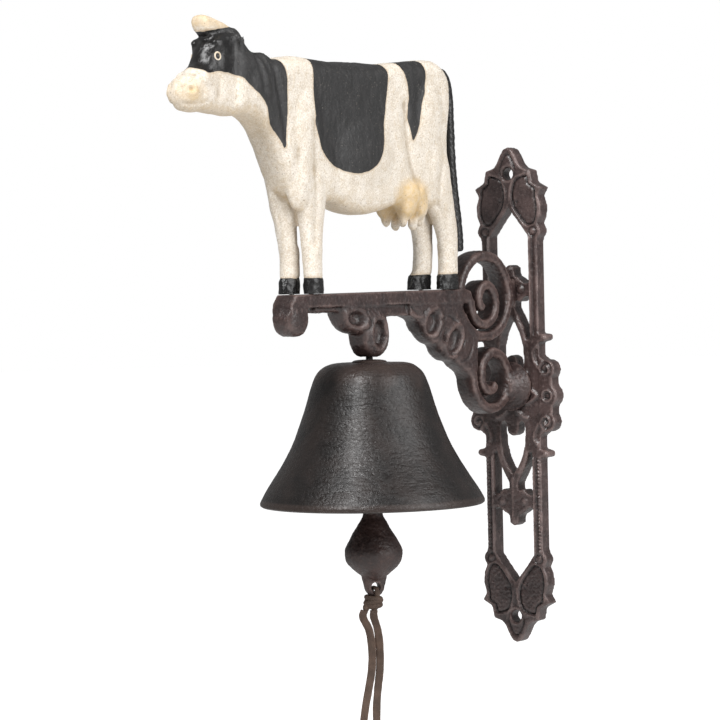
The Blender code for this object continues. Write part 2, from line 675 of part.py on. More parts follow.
def bell_outer():
    """Outer profile (radius, height) from the shoulder down to the lip."""
    rim = BELL_MOUTH / MM / 2
    return [
        (18.0, 22.6), (22.0, 21.6), (25.2, 19.4), (27.6, 16.4), (29.4, 11.8), (30.6, 8.0), (32.6, 1.8),
        (34.6, -4.3), (36.8, -10.3), (39.2, -16.5), (42.2, -22.6), (45.7, -28.7), (49.6, -34.8),
        (53.9, -41.2), (rim - 0.1, -46.6), (rim, -47.8), (rim - 0.9, BELL_RIM_Z / MM),
    ]


def make_bell():
    wall = BELL_WALL / MM
    top = BELL_TOP_Z / MM
    bore = BOLT_RADIUS / MM + 0.4
    outer = bell_outer()
    inner = [(53.4, BELL_RIM_Z / MM), (51.6, -47.0)]
    for radius, z in reversed(outer[3:14:2]):
        inner.append((radius - wall, z - wall * 0.35))
    inner += [(17.5, top - wall - 1.0), (bore, top - wall - 0.6)]
    profile = [(bore, top)] + outer + inner
    place("bell_shell", turned_mesh("bell_shell", profile, 44), "bell_black", BELL_AXIS)
    top = [(2.4, 24.4), (6.6, 24.1), (8.7, 23.4), (8.8, 22.9), (2.4, 22.9)]
    place("bell_top_washer", turned_mesh("bell_top_washer", top, 32), "bell_black", BELL_AXIS)
    low = [(2.4, 17.9), (7.0, 17.9), (7.0, 16.6), (2.4, 16.6)]
    place("bell_lower_washer", turned_mesh("bell_lower_washer", low, 24), "plated_steel", BELL_AXIS)


def make_nut():
    nut = rod_mesh(4.0 * MM, 3.2 * MM, 6)
    place("bell_nut", nut, "plated_steel", Matrix.Translation((0, -BELL_REACH, 13.1 * MM)))
    bore = rod_mesh(BOLT_RADIUS + 0.2 * MM, 6 * MM)
    cut = cutter("nut_bore", bore, Matrix.Translation((0, -BELL_REACH, 12 * MM)))
    combine(PARTS.objects["bell_nut"], cut, "DIFFERENCE")


def ring_points(radius, count, turn):
    """A circle of points standing upright; turn 0 faces along X, 90 along Y."""
    points = []
    angle = math.radians(turn)
    for i in range(count):
        step = 2 * math.pi * i / count
        side = radius * math.cos(step)
        points.append((-side * math.sin(angle), side * math.cos(angle), radius * math.sin(step)))
    return points


def make_eye_bolt():
    ring = tube_mesh("eye_bolt", ring_points(EYE_RADIUS, 20, 0), EYE_WIRE, cyclic=True)
    bolt = place("eye_bolt", ring, "dark_steel", Matrix.Translation((0, -BELL_REACH, EYE_Z)))
    start = EYE_Z + EYE_RADIUS - 0.6 * MM
    shank = rod_mesh(BOLT_RADIUS, 37.2 * MM - start, 16)
    combine(bolt, cutter("bolt_shank", shank, Matrix.Translation((0, -BELL_REACH, start))), "UNION")


def make_link():
    """An oblong ring across X, hung on the bolt's eye."""
    bend = LINK_HALF
    straight = LINK_LENGTH - 2 * bend
    points = []
    for i in range(9):
        angle = math.pi * i / 8
        points.append((bend * math.cos(angle), 0.0, bend * math.sin(angle) - bend))
    for i in range(9):
        angle = math.pi + math.pi * i / 8
        points.append((bend * math.cos(angle), 0.0, bend * math.sin(angle) - bend - straight))
    mesh = tube_mesh("clapper_link", points, LINK_WIRE, cyclic=True)
    place("clapper_link", mesh, "dark_steel", Matrix.Translation((0, -BELL_REACH, LINK_TOP_Z)))


def make_clapper():
    """The pear with its flat lug, and the wire eye screwed into its neck; both hang from the pivot."""
    pivot = Matrix.Translation((0, -BELL_REACH, CLAPPER_PIVOT_Z))
    drop = CLAPPER_PIVOT_Z / MM
    points = [(x, y, z - CLAPPER_EYE_RADIUS) for x, y, z in ring_points(CLAPPER_EYE_RADIUS, 18, 0)]
    ring = tube_mesh("clapper_eye", points, CLAPPER_EYE_WIRE, cyclic=True)
    eye = place("clapper_eye", ring, "dark_steel", pivot)
    foot = -2 * CLAPPER_EYE_RADIUS + 0.4 * MM - CLAPPER_SHANK_LENGTH
    shank = rod_mesh(CLAPPER_SHANK_RADIUS, CLAPPER_SHANK_LENGTH, 12)
    combine(eye, cutter("eye_shank", shank, pivot @ Matrix.Translation((0, 0, foot))), "UNION")

    neck = drop - (2 * CLAPPER_EYE_RADIUS + CLAPPER_EYE_WIRE + GAP) / MM
    heights = [(0, neck), (3.2, neck), (3.7, neck - 1.0), (4.1, -36), (4.5, -50), (4.7, -55), (6.4, -58.4),
               (10.4, -61.6), (13.4, -66.0), (14.9, -72.0), (14.6, -77.0), (12.2, -82.0), (8.6, -85.2),
               (5.6, -87.2), (0, -87.6)]
    profile = [(radius, z - drop) for radius, z in heights]
    pear = place("clapper_pear", turned_mesh("clapper_pear", profile, 26), "bell_black", pivot)
    lug = [(-6.4, 7.8)] + arc(0, 0, LUG_RADIUS, 200, 340, 10) + [(6.4, 7.8)]
    mesh = outline_mesh("lug", [lug], LUG_HALF_THICK * MM)
    combine(pear, cutter("lug", mesh, LUG_FRAME @ ARM_TURN), "UNION")
    bore = rod_mesh(CLAPPER_SHANK_RADIUS + GAP, CLAPPER_SHANK_LENGTH + 1 * MM, 12)
    seat = Matrix.Translation((0, -BELL_REACH, neck * MM - CLAPPER_SHANK_LENGTH - 0.2 * MM))
    combine(pear, cutter("eye_bore", bore, seat), "DIFFERENCE")
    hole = rod_mesh(LUG_HOLE_RADIUS * MM, 12 * MM, 16)
    combine(pear, cutter("lug_hole", hole, LUG_FRAME @ across(-6, 0, 0)), "DIFFERENCE")


# ---------------------------------------------------------------- lace

def smooth_path(points, count):
    """Evenly spread points on a smooth curve through hand-chosen ones."""
    knots = [Vector(point) for point in points]
    knots = [knots[0] * 2 - knots[1]] + knots + [knots[-1] * 2 - knots[-2]]
    dense = []
    for a, b, c, d in zip(knots, knots[1:], knots[2:], knots[3:]):
        for i in range(20):
            t = i / 20
            bend = (2 * a - 5 * b + 4 * c - d) * t**2 + (3 * b - a - 3 * c + d) * t**3
            dense.append(0.5 * (2 * b + (c - a) * t + bend))
    dense.append(knots[-2])
    lengths = [0.0]
    for first, second in zip(dense, dense[1:]):
        lengths.append(lengths[-1] + (second - first).length)
    result = []
    cursor = 0
    for i in range(count):
        goal = lengths[-1] * i / (count - 1)
        while cursor < len(lengths) - 2 and lengths[cursor + 1] < goal:
            cursor += 1
        span = lengths[cursor + 1] - lengths[cursor]
        t = (goal - lengths[cursor]) / span
        result.append(dense[cursor].lerp(dense[cursor + 1], t))
    return result


def lace_path(route, count):
    points = []
    for x, out, z in route:
        points.append((x * MM, -out * MM, z * MM))
    return smooth_path(points, count)


def make_lace():
    """The lace's loop through the lug, its knot and its two hanging ends, all about the hole."""
    hole = Matrix.Translation((0, -BELL_REACH, LUG_HOLE_Z))
    side = LUG_HALF_THICK + 0.4 + LOOP_WIRE
    half = [(side, -5.6), (side, -1.4), (side * 0.66, 0.4)]
    loop = half + [(0, 0.6)] + [(-x, z) for x, z in reversed(half)]
    points = [(x * MM, 0.0, z * MM) for x, z in loop]
    place("lace_loop", tube_mesh("lace_loop", points, LOOP_WIRE * MM), "brown_leather", LUG_FRAME)
    knot = ball_mesh((0, -2.0, -KNOT_DROP), KNOT_HALF, 16, 10)
    place("lace_knot", knot, "brown_leather", hole)
    for name, route, count in (("lace_end_long", LONG_ROUTE, 28), ("lace_end_short", SHORT_ROUTE, 26)):
        mesh = tube_mesh(name, lace_path(route, count), LACE_RADIUS)
        place(name, mesh, "brown_leather", hole)


make_plate()
make_arm()
make_arm_screws()
make_cow()
make_cow_fixings()
make_bell()
make_nut()
make_eye_bolt()
make_link()
make_clapper()
make_lace()
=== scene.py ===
"""Looks for the wall mounted bell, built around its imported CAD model.

Everything is in metres in the part's own frame: +Y into the wall, the arm along -Y, +Z up.
Outlines of the arm and the cow are drawn in mm as (reach, height), reach being the distance
out from the wall. Distances in mm are turned into metres where the meshes are made.
"""
import json
import math

import bmesh
import bpy
import numpy as np
from mathutils import Matrix, Quaternion, Vector, noise
from mathutils.bvhtree import BVHTree


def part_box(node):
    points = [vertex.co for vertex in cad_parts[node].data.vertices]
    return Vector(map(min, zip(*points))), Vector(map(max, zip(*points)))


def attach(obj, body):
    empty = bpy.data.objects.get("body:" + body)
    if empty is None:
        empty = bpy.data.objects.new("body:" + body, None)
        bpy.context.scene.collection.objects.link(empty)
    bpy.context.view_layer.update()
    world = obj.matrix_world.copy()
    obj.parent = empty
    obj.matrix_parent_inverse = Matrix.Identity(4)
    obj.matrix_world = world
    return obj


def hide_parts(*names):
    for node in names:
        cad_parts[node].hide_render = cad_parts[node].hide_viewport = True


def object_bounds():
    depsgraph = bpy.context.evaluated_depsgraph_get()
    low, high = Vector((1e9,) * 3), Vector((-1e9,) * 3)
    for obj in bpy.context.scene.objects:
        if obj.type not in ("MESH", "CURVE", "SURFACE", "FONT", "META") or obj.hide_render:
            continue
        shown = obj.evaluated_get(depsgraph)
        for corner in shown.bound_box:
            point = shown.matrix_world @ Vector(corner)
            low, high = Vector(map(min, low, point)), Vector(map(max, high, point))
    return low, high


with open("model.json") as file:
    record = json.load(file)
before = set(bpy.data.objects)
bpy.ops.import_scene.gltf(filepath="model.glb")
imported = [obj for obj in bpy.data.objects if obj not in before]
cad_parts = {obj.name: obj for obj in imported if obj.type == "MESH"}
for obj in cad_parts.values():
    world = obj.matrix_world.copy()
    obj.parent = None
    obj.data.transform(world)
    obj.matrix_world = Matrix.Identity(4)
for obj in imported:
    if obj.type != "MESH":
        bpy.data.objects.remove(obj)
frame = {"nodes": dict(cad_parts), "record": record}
CAD_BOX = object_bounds()

MM = 0.001
GAP = 0.3
SIDE_VIEW = Matrix(((0, 0, -1), (-1, 0, 0), (0, 1, 0))).to_4x4()

BELL_LOW, BELL_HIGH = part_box("bell_shell")
BELL_REACH = -(BELL_LOW.y + BELL_HIGH.y) / 2 / MM
BELL_AXIS = Matrix.Translation((0, -BELL_REACH * MM, 0))
RIM_Z = BELL_LOW.z / MM
CROWN_Z = BELL_HIGH.z / MM
SADDLE_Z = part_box("cow_near_half")[0].z / MM
LUG_HOLE_Z = -90.8
LUG_TURN = Matrix.Rotation(math.radians(-30), 4, "Z")


# -------- camera

def make_camera():
    """A long lens, low and to the bell's right, with a small roll."""
    turn, rise, roll = math.radians(37.164), math.radians(1.861), math.radians(1.268)
    aim = Vector((0.0, -0.1422, 0.0244))
    distance = 1.5088
    back = Vector((math.sin(turn) * math.cos(rise), -math.cos(turn) * math.cos(rise), math.sin(rise)))
    camera = bpy.data.objects.new("camera", bpy.data.cameras.new("camera"))
    camera.data.lens = 150.0
    camera.data.sensor_width = 36.0
    camera.location = aim + back * distance
    camera.rotation_mode = "QUATERNION"
    camera.rotation_quaternion = (-back).to_track_quat("-Z", "Y") @ Quaternion((0, 0, 1), -roll)
    bpy.context.scene.collection.objects.link(camera)
    bpy.context.scene.camera = camera


# -------- materials

class Paint:
    """A material's node tree, built by short calls that return sockets."""

    def __init__(self, name):
        self.material = bpy.data.materials.new(name)
        self.material.use_nodes = True
        self.tree = self.material.node_tree
        self.shader = self.tree.nodes["Principled BSDF"]
        self.place = self.make("TexCoord").outputs["Object"]

    def make(self, kind, settings=(), **feeds):
        made = self.tree.nodes.new("ShaderNode" + kind)
        for key, value in settings:
            setattr(made, key, value)
        for key, value in feeds.items():
            self.feed(made.inputs[key.replace("_", " ")], value)
        return made

    def feed(self, socket, value):
        if isinstance(value, bpy.types.NodeSocket):
            self.tree.links.new(value, socket)
        elif isinstance(value, tuple) and socket.type == "RGBA":
            socket.default_value = (*value, 1.0)
        else:
            socket.default_value = value

    def noise(self, size, detail=3.0, stretch=None):
        """Noise whose lumps are about size mm across, from 0 to 1."""
        where = self.place
        if stretch:
            where = self.make("Mapping", Vector=where, Scale=stretch).outputs["Vector"]
        made = self.make("TexNoise", Vector=where, Scale=1000.0 / size, Detail=detail, Roughness=0.55)
        return made.outputs["Fac"]

    def step(self, value, start, end, low=0.0, high=1.0):
        made = self.make("MapRange", (("interpolation_type", "SMOOTHSTEP"),), Value=value)
        for key, number in (("From Min", start), ("From Max", end), ("To Min", low), ("To Max", high)):
            self.feed(made.inputs[key], number)
        return made.outputs["Result"]

    def math(self, operation, first, second):
        made = self.make("Math", (("operation", operation),))
        self.feed(made.inputs[0], first)
        self.feed(made.inputs[1], second)
        return made.outputs[0]

    def stored(self, name):
        return self.make("Attribute", (("attribute_name", name),)).outputs["Fac"]

    def mix(self, amount, first, second):
        made = self.make("Mix", (("data_type", "RGBA"),))
        self.feed(made.inputs[0], amount)
        self.feed(made.inputs[6], first)
        self.feed(made.inputs[7], second)
        return made.outputs[2]

    def bump(self, height, depth, strength=1.0, under=None):
        made = self.make("Bump", Height=height, Distance=depth * MM, Strength=strength)
        if under:
            self.feed(made.inputs["Normal"], under)
        return made.outputs["Normal"]

    def finish(self, colour, roughness, normal, **fixed):
        self.feed(self.shader.inputs["Base Color"], colour)
        self.feed(self.shader.inputs["Roughness"], roughness)
        if normal:
            self.feed(self.shader.inputs["Normal"], normal)
        for key, value in fixed.items():
            self.shader.inputs[key.replace("_", " ")].default_value = value
        return self.material


def cast_iron(name, dark, light, wear_and_highlight, grime_and_shade, rough, grain, coat):
    """Sand-cast iron under lacquer: lighter on raised edges as wear and painted highlight, darker in its
    hollows as dirt and painted shade.
    """
    paint = Paint(name)
    broad = paint.noise(9.0, 4.0)
    lumps = paint.noise(1.9, 3.0)
    grit = paint.noise(0.55, 2.0)
    ragged = paint.math("MULTIPLY", paint.math("SUBTRACT", grit, 0.5), 0.12)
    edge = paint.math("ADD", paint.stored("edge"), ragged)
    colour = paint.mix(paint.step(broad, 0.36, 0.64), dark, light)
    colour = paint.mix(paint.step(lumps, 0.54, 0.74, 0.0, 0.45), colour, wear_and_highlight)
    patchy = paint.step(broad, 0.36, 0.60, 0.35, 1.0)
    # Raised edges get the lighter colour: wear, and painted highlight on the rims.
    rubbed = paint.math("MULTIPLY", paint.step(edge, 0.08, 0.42, 0.0, 0.7), patchy)
    colour = paint.mix(rubbed, colour, wear_and_highlight)
    # Hollows get the dark colour: dirt, and painted shade in the recesses.
    colour = paint.mix(paint.step(edge, -0.10, -0.50, 0.0, 0.85), colour, grime_and_shade)
    roughness = paint.step(lumps, 0.3, 0.7, rough - 0.08, rough + 0.12)
    normal = paint.bump(lumps, grain)
    normal = paint.bump(grit, grain * 0.45, 1.0, normal)
    return paint.finish(colour, roughness, normal, Coat_Weight=coat, Coat_Roughness=0.22)


def bell_lacquer(name):
    """Brown-black lacquer with an orange-peel skin, browner on the crown."""
    paint = Paint(name)
    height = paint.make("SeparateXYZ", Vector=paint.place).outputs["Z"]
    broad = paint.noise(14.0, 4.0)
    peel = paint.noise(1.5, 3.0)
    grit = paint.noise(0.5, 2.0)
    chatter = paint.noise(3.4, 2.0, (0.4, 0.4, 2.2))
    crown = paint.math("ADD", height, paint.math("MULTIPLY", paint.math("SUBTRACT", broad, 0.5), 0.02))
    colour = paint.mix(paint.step(broad, 0.35, 0.7), (0.0085, 0.0070, 0.0066), (0.0175, 0.0128, 0.0114))
    colour = paint.mix(paint.step(crown, 0.010, 0.022, 0.0, 0.7), colour, (0.046, 0.032, 0.028))
    colour = paint.mix(paint.step(grit, 0.58, 0.72, 0.0, 0.35), colour, (0.060, 0.050, 0.046))
    edge = paint.stored("edge")
    colour = paint.mix(paint.step(edge, 0.12, 0.5, 0.0, 0.4), colour, (0.060, 0.042, 0.036))
    roughness = paint.step(peel, 0.3, 0.7, 0.26, 0.48)
    normal = paint.bump(peel, 0.30)
    normal = paint.bump(grit, 0.10, 1.0, normal)
    normal = paint.bump(chatter, 0.34, 1.0, normal)
    return paint.finish(colour, roughness, normal, Specular_IOR_Level=0.34,
                        Coat_Weight=0.05, Coat_Roughness=0.2)


def cow_paint(name):
    """Hand-painted cream and black, antiqued with brown wash and specks."""
    paint = Paint(name)
    wash = paint.noise(7.0, 4.0)
    blotch = paint.noise(2.2, 4.0)
    grain = paint.noise(0.7, 3.0)
    wobble = paint.math("MULTIPLY", paint.math("SUBTRACT", paint.noise(5.0, 2.0), 0.5), 0.9)
    patch = paint.math("ADD", paint.stored("patch"), wobble)
    edge = paint.stored("edge")
    cream = paint.mix(paint.step(wash, 0.36, 0.66), (0.61, 0.540, 0.450), (0.70, 0.640, 0.560))
    cream = paint.mix(paint.step(blotch, 0.5, 0.66, 0.0, 0.6), cream, (0.56, 0.465, 0.345))
    cream = paint.mix(paint.step(grain, 0.52, 0.68, 0.0, 0.5), cream, (0.41, 0.33, 0.24))
    cream = paint.mix(paint.step(grain, 0.48, 0.36, 0.0, 0.7), cream, (0.80, 0.75, 0.68))
    cream = paint.mix(paint.step(edge, -0.03, -0.45, 0.0, 0.6), cream, (0.33, 0.25, 0.16))
    # This colour is the tan paint of muzzle, horns and udder, and painted shade on the underside.
    tan_and_shade = paint.math("MULTIPLY", paint.stored("tan_and_shade"), paint.step(blotch, 0.25, 0.7, 0.65, 1.0))
    cream = paint.mix(tan_and_shade, cream, (0.58, 0.40, 0.18))
    fleck = paint.math("ADD", paint.noise(0.9, 1.0), paint.math("MULTIPLY", wash, 0.25))
    cream = paint.mix(paint.step(fleck, 0.80, 0.90, 0.0, 0.65), cream, (0.17, 0.125, 0.09))
    rubbed = paint.math("MULTIPLY", paint.step(patch, -1.5, -0.2), 0.45)
    cream = paint.mix(rubbed, cream, (0.42, 0.30, 0.17))
    streak = paint.noise(2.6, 3.0, (1.0, 1.0, 0.25))
    black = paint.mix(paint.step(streak, 0.4, 0.75), (0.020, 0.0195, 0.0195), (0.033, 0.0315, 0.0315))
    black = paint.mix(paint.step(fleck, 0.44, 0.36, 0.0, 0.5), black, (0.20, 0.18, 0.155))
    gloss = paint.stored("gloss")
    black = paint.mix(gloss, black, (0.012, 0.0115, 0.0115))
    dark = paint.step(patch, -0.14, 0.14)
    colour = paint.mix(dark, cream, black)
    satin = paint.step(gloss, 0.0, 1.0, 0.46, 0.16)
    roughness = paint.math("ADD", paint.math("MULTIPLY", dark, paint.math("SUBTRACT", satin, 0.62)), 0.62)
    normal = paint.bump(blotch, 0.34)
    normal = paint.bump(grain, 0.16, 1.0, normal)
    return paint.finish(colour, roughness, normal, Specular_IOR_Level=0.42)


def steel(name, bright, dark, rough):
    paint = Paint(name)
    broad = paint.noise(3.0, 4.0)
    scratch = paint.noise(0.5, 3.0, (1.0, 1.0, 6.0))
    colour = paint.mix(paint.step(broad, 0.4, 0.7), bright, dark)
    roughness = paint.step(scratch, 0.3, 0.7, rough - 0.1, rough + 0.12)
    return paint.finish(colour, roughness, paint.bump(scratch, 0.03), Metallic=0.9)


def leather(name):
    """Matte brown leather: pores, long creases and paler rubbed edges."""
    paint = Paint(name)
    broad = paint.noise(6.0, 4.0)
    pores = paint.noise(0.45, 3.0)
    creases = paint.noise(1.3, 3.0, (1.0, 1.0, 0.3))
    colour = paint.mix(paint.step(broad, 0.35, 0.7), (0.048, 0.028, 0.018), (0.082, 0.049, 0.033))
    colour = paint.mix(paint.step(pores, 0.56, 0.75, 0.0, 0.5), colour, (0.030, 0.016, 0.012))
    colour = paint.mix(paint.step(paint.stored("edge"), 0.3, 0.9, 0.0, 0.6), colour, (0.15, 0.092, 0.065))
    normal = paint.bump(creases, 0.22)
    normal = paint.bump(pores, 0.09, 1.0, normal)
    return paint.finish(colour, paint.step(pores, 0.3, 0.7, 0.62, 0.82), normal)


def stage_paint(name):
    """Pale matte paint that looks brighter to the camera only, so the floor meets the backdrop."""
    paint = Paint(name)
    tone = paint.noise(900.0, 2.0)
    colour = paint.mix(tone, (0.80, 0.795, 0.79), (0.83, 0.828, 0.825))
    paint.feed(paint.shader.inputs["Emission Color"], (1.0, 1.0, 1.0))
    seen = paint.make("LightPath").outputs["Is Camera Ray"]
    paint.feed(paint.shader.inputs["Emission Strength"], paint.step(seen, 0.0, 1.0, 0.0, 0.85))
    return paint.finish(colour, 0.9, None)


# -------- meshes

def link_object(name, data):
    thing = bpy.data.objects.new(name, data)
    bpy.context.scene.collection.objects.link(thing)
    return thing


def baked(thing):
    """The evaluated mesh of a helper object, welded; the object itself is removed."""
    depsgraph = bpy.context.evaluated_depsgraph_get()
    depsgraph.update()
    mesh = bpy.data.meshes.new_from_object(thing.evaluated_get(depsgraph))
    bpy.data.objects.remove(thing)
    work = bmesh.new()
    work.from_mesh(mesh)
    bmesh.ops.remove_doubles(work, verts=work.verts, dist=0.005 * MM)
    bmesh.ops.recalc_face_normals(work, faces=work.faces)
    work.to_mesh(mesh)
    work.free()
    return mesh


def curve_mesh(name, points, cyclic, **settings):
    data = bpy.data.curves.new(name, "CURVE")
    data.dimensions = "2D" if len(points[0]) == 2 else "3D"
    spline = data.splines.new("POLY")
    spline.points.add(len(points) - 1)
    for knot, point in zip(spline.points, points):
        knot.co = (point[0], point[1], point[2] if len(point) == 3 else 0.0, 1.0)
    spline.use_cyclic_u = cyclic
    for key, value in settings.items():
        setattr(data, key, value)
    return baked(link_object(name, data))


def slab(loop, half, bevel):
    """A (reach, height) outline thickened across X, with rounded edges."""
    flat = [(a * MM, b * MM) for a, b in loop]
    mesh = curve_mesh("slab", flat, True, fill_mode="BOTH", extrude=(half - bevel) * MM,
                      bevel_depth=bevel * MM, bevel_resolution=3, offset=-bevel * MM)
    mesh.transform(SIDE_VIEW)
    return mesh


def tube(points, radius, cyclic=False, resolution=5):
    """A round wire through points in mm."""
    route = [tuple(value * MM for value in point) for point in points]
    return curve_mesh("tube", route, cyclic, bevel_depth=radius * MM, bevel_resolution=resolution,
                      use_fill_caps=not cyclic)


def ball(centre, radii):
    """An ellipsoid at (x, reach, z)."""
    work = bmesh.new()
    bmesh.ops.create_uvsphere(work, u_segments=28, v_segments=18, radius=1.0)
    mesh = bpy.data.meshes.new("ball")
    work.to_mesh(mesh)
    work.free()
    x, reach, z = centre
    size = Matrix.Diagonal((radii[0] * MM, radii[1] * MM, radii[2] * MM, 1.0))
    mesh.transform(Matrix.Translation((x * MM, -reach * MM, z * MM)) @ size)
    return mesh


def loft(sections, sides=24):
    """A closed skin through level ellipses (x, reach, z, half width in x, half depth)."""
    rings = np.array(smooth_line(sections, 6))
    turn = np.linspace(0, 2 * math.pi, sides, endpoint=False)
    verts = []
    for x, reach, z, half_x, half_reach in rings:
        for angle in turn:
            across = x + half_x * math.cos(angle)
            out = reach + half_reach * math.sin(angle)
            verts.append((across * MM, -out * MM, z * MM))
    return grid_mesh(verts, len(rings), sides)


def grid_mesh(verts, rings, sides, caps=True):
    """Quads between closed rings of vertices, with capped ends."""
    faces = []
    for i in range(rings - 1):
        for j in range(sides):
            k = (j + 1) % sides
            faces.append((i * sides + j, i * sides + k, (i + 1) * sides + k, (i + 1) * sides + j))
    if caps:
        faces.append(tuple(range(sides)))
        faces.append(tuple(range((rings - 1) * sides, rings * sides)))
    mesh = bpy.data.meshes.new("grid")
    mesh.from_pydata(verts, [], faces)
    work = bmesh.new()
    work.from_mesh(mesh)
    bmesh.ops.recalc_face_normals(work, faces=work.faces)
    work.to_mesh(mesh)
    work.free()
    return mesh


def turned(profile, steps=160):
    """A closed (radius, height) loop in mm turned about Z."""
    on_axis = profile[0][0] < 0.001
    verts = []
    for radius, z in profile:
        for i in range(steps):
            angle = 2 * math.pi * i / steps
            verts.append((radius * MM * math.cos(angle), radius * MM * math.sin(angle), z * MM))
    if not on_axis:
        verts += verts[:steps]
    mesh = grid_mesh(verts, len(verts) // steps, steps, caps=False)
    work = bmesh.new()
    work.from_mesh(mesh)
    bmesh.ops.remove_doubles(work, verts=work.verts, dist=0.001 * MM)
    bmesh.ops.recalc_face_normals(work, faces=work.faces)
    work.to_mesh(mesh)
    work.free()
    return mesh


def joined(meshes):
    work = bmesh.new()
    for mesh in meshes:
        work.from_mesh(mesh)
    mesh = bpy.data.meshes.new("joined")
    work.to_mesh(mesh)
    work.free()
    return mesh


def melted(mesh, voxel, rounds):
    """The mesh as one even skin with softened edges."""
    thing = link_object("melted", mesh)
    step = thing.modifiers.new("skin", "REMESH")
    step.mode = "VOXEL"
    step.voxel_size = voxel * MM
    ease = thing.modifiers.new("ease", "SMOOTH")
    ease.factor = 0.5
    ease.iterations = rounds
    return baked(thing)


def cut_out(mesh, guides):
    """The mesh less each guide mesh."""
    thing = link_object("cut", mesh)
    holders = []
    for guide in guides:
        holder = link_object("guide", guide)
        holders.append(holder)
        step = thing.modifiers.new("cut", "BOOLEAN")
        step.operation = "DIFFERENCE"
        step.solver = "EXACT"
        step.object = holder
    mesh = baked(thing)
    for holder in holders:
        bpy.data.objects.remove(holder)
    return mesh


def thinned(mesh, share):
    thing = link_object("thinned", mesh)
    thing.modifiers.new("thin", "DECIMATE").ratio = share
    return baked(thing)


def points_of(mesh):
    co = np.empty(len(mesh.vertices) * 3)
    mesh.vertices.foreach_get("co", co)
    return co.reshape(-1, 3) / MM


def normals_of(mesh):
    no = np.empty(len(mesh.vertices) * 3)
    mesh.vertex_normals.foreach_get("vector", no)
    return no.reshape(-1, 3)


def move_to(mesh, points):
    mesh.vertices.foreach_set("co", (points * MM).ravel())
    mesh.update()


def store(mesh, name, values):
    mesh.attributes.new(name, "FLOAT", "POINT").data.foreach_set("value", values.astype(np.float32))


def roughen(mesh, fine, coarse, keep=None):
    """Casting roughness as real relief: fine grain and broad unevenness, in mm."""
    points = points_of(mesh)
    lift = []
    for p in points:
        lift.append(fine * noise.noise(Vector(p) / 1.3) + coarse * noise.noise(Vector(p) / 5.0))
    lift = np.array(lift)
    if keep is not None:
        lift *= keep(points)
    move_to(mesh, points + normals_of(mesh) * lift[:, None])


def relaxed(mesh, rounds):
    """The mesh's points after rounds of averaging with their neighbours."""
    points = points_of(mesh)
    pairs = np.empty(len(mesh.edges) * 2, int)
    mesh.edges.foreach_get("vertices", pairs)
    first, second = pairs.reshape(-1, 2).T
    count = np.bincount(pairs, minlength=len(points)).astype(float)
    smooth = points.copy()
    for _ in range(rounds):
        total = np.zeros_like(smooth)
        for axis in range(3):
            total[:, axis] = np.bincount(first, smooth[second, axis], len(points))
            total[:, axis] += np.bincount(second, smooth[first, axis], len(points))
        smooth = total / np.maximum(count, 1)[:, None]
    return smooth


def store_edges(mesh, rounds):
    """How far each vertex stands out of its smoothed surroundings, in mm: raised edges and hollows, which the
    materials colour as wear, dirt, antique wash, painted highlight and painted shade.
    """
    store(mesh, "edge", ((points_of(mesh) - relaxed(mesh, rounds)) * normals_of(mesh)).sum(axis=1))


# -------- outlines and relief

def smooth_line(points, steps, closed=False):
    """A smooth line through given points of any width."""
    knots = np.array(points, float)
    if closed:
        knots = np.vstack((knots[-1:], knots, knots[:2]))
    else:
        knots = np.vstack((2 * knots[:1] - knots[1:2], knots, 2 * knots[-1:] - knots[-2:-1]))
    made = []
    for a, b, c, d in zip(knots, knots[1:], knots[2:], knots[3:]):
        for i in range(steps):
            t = i / steps
            made.append(0.5 * (2 * b + (c - a) * t + (2 * a - 5 * b + 4 * c - d) * t**2
                               + (3 * b - a - 3 * c + d) * t**3))
    if not closed:
        made.append(knots[-2])
    return [tuple(float(value) for value in point) for point in made]


def near(points, line):
    """Each point's distance to a polyline, in any number of dimensions."""
    best = np.full(len(points), 1e9)
    for start, end in zip(line, line[1:]):
        start, way = np.array(start), np.subtract(end, start)
        t = np.clip((points - start) @ way / max(way @ way, 1e-9), 0, 1)
        best = np.minimum(best, np.linalg.norm(points - start - t[:, None] * way, axis=1))
    return best


def depth_in(points, loop):
    """Distance to a closed outline, positive inside it."""
    odd = np.zeros(len(points), bool)
    for (ax, ay), (bx, by) in zip(loop, loop[1:] + loop[:1]):
        spans = (points[:, 1] < ay) != (points[:, 1] < by)
        odd ^= spans & (points[:, 0] < ax + (points[:, 1] - ay) * (bx - ax) / ((by - ay) or 1e-9))
    return np.where(odd, 1.0, -1.0) * near(points, loop + loop[:1])


def step(values, start, end):
    t = np.clip((values - start) / (end - start), 0, 1)
    return t * t * (3 - 2 * t)


def ridge(distance, half_width):
    return np.exp(-(distance / half_width) ** 2)


def spiral(cx, cy, start, end, outer, inner):
    made = []
    for i in range(33):
        t = i / 32
        angle = math.radians(start + (end - start) * t)
        radius = outer + (inner - outer) * t
        made.append((cx + radius * math.cos(angle), cy + radius * math.sin(angle)))
    return made


# -------- pieces

def show(name, mesh, material, body, nodes=(), angle=40):
    """A finished piece on its body."""
    mesh.name = name
    mesh.materials.clear()
    mesh.materials.append(material)
    mesh.shade_smooth()
    mesh.set_sharp_from_angle(angle=math.radians(angle))
    piece = link_object(name, mesh)
    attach(piece, body)
    if nodes:
        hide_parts(*nodes)
    return piece


make_camera()

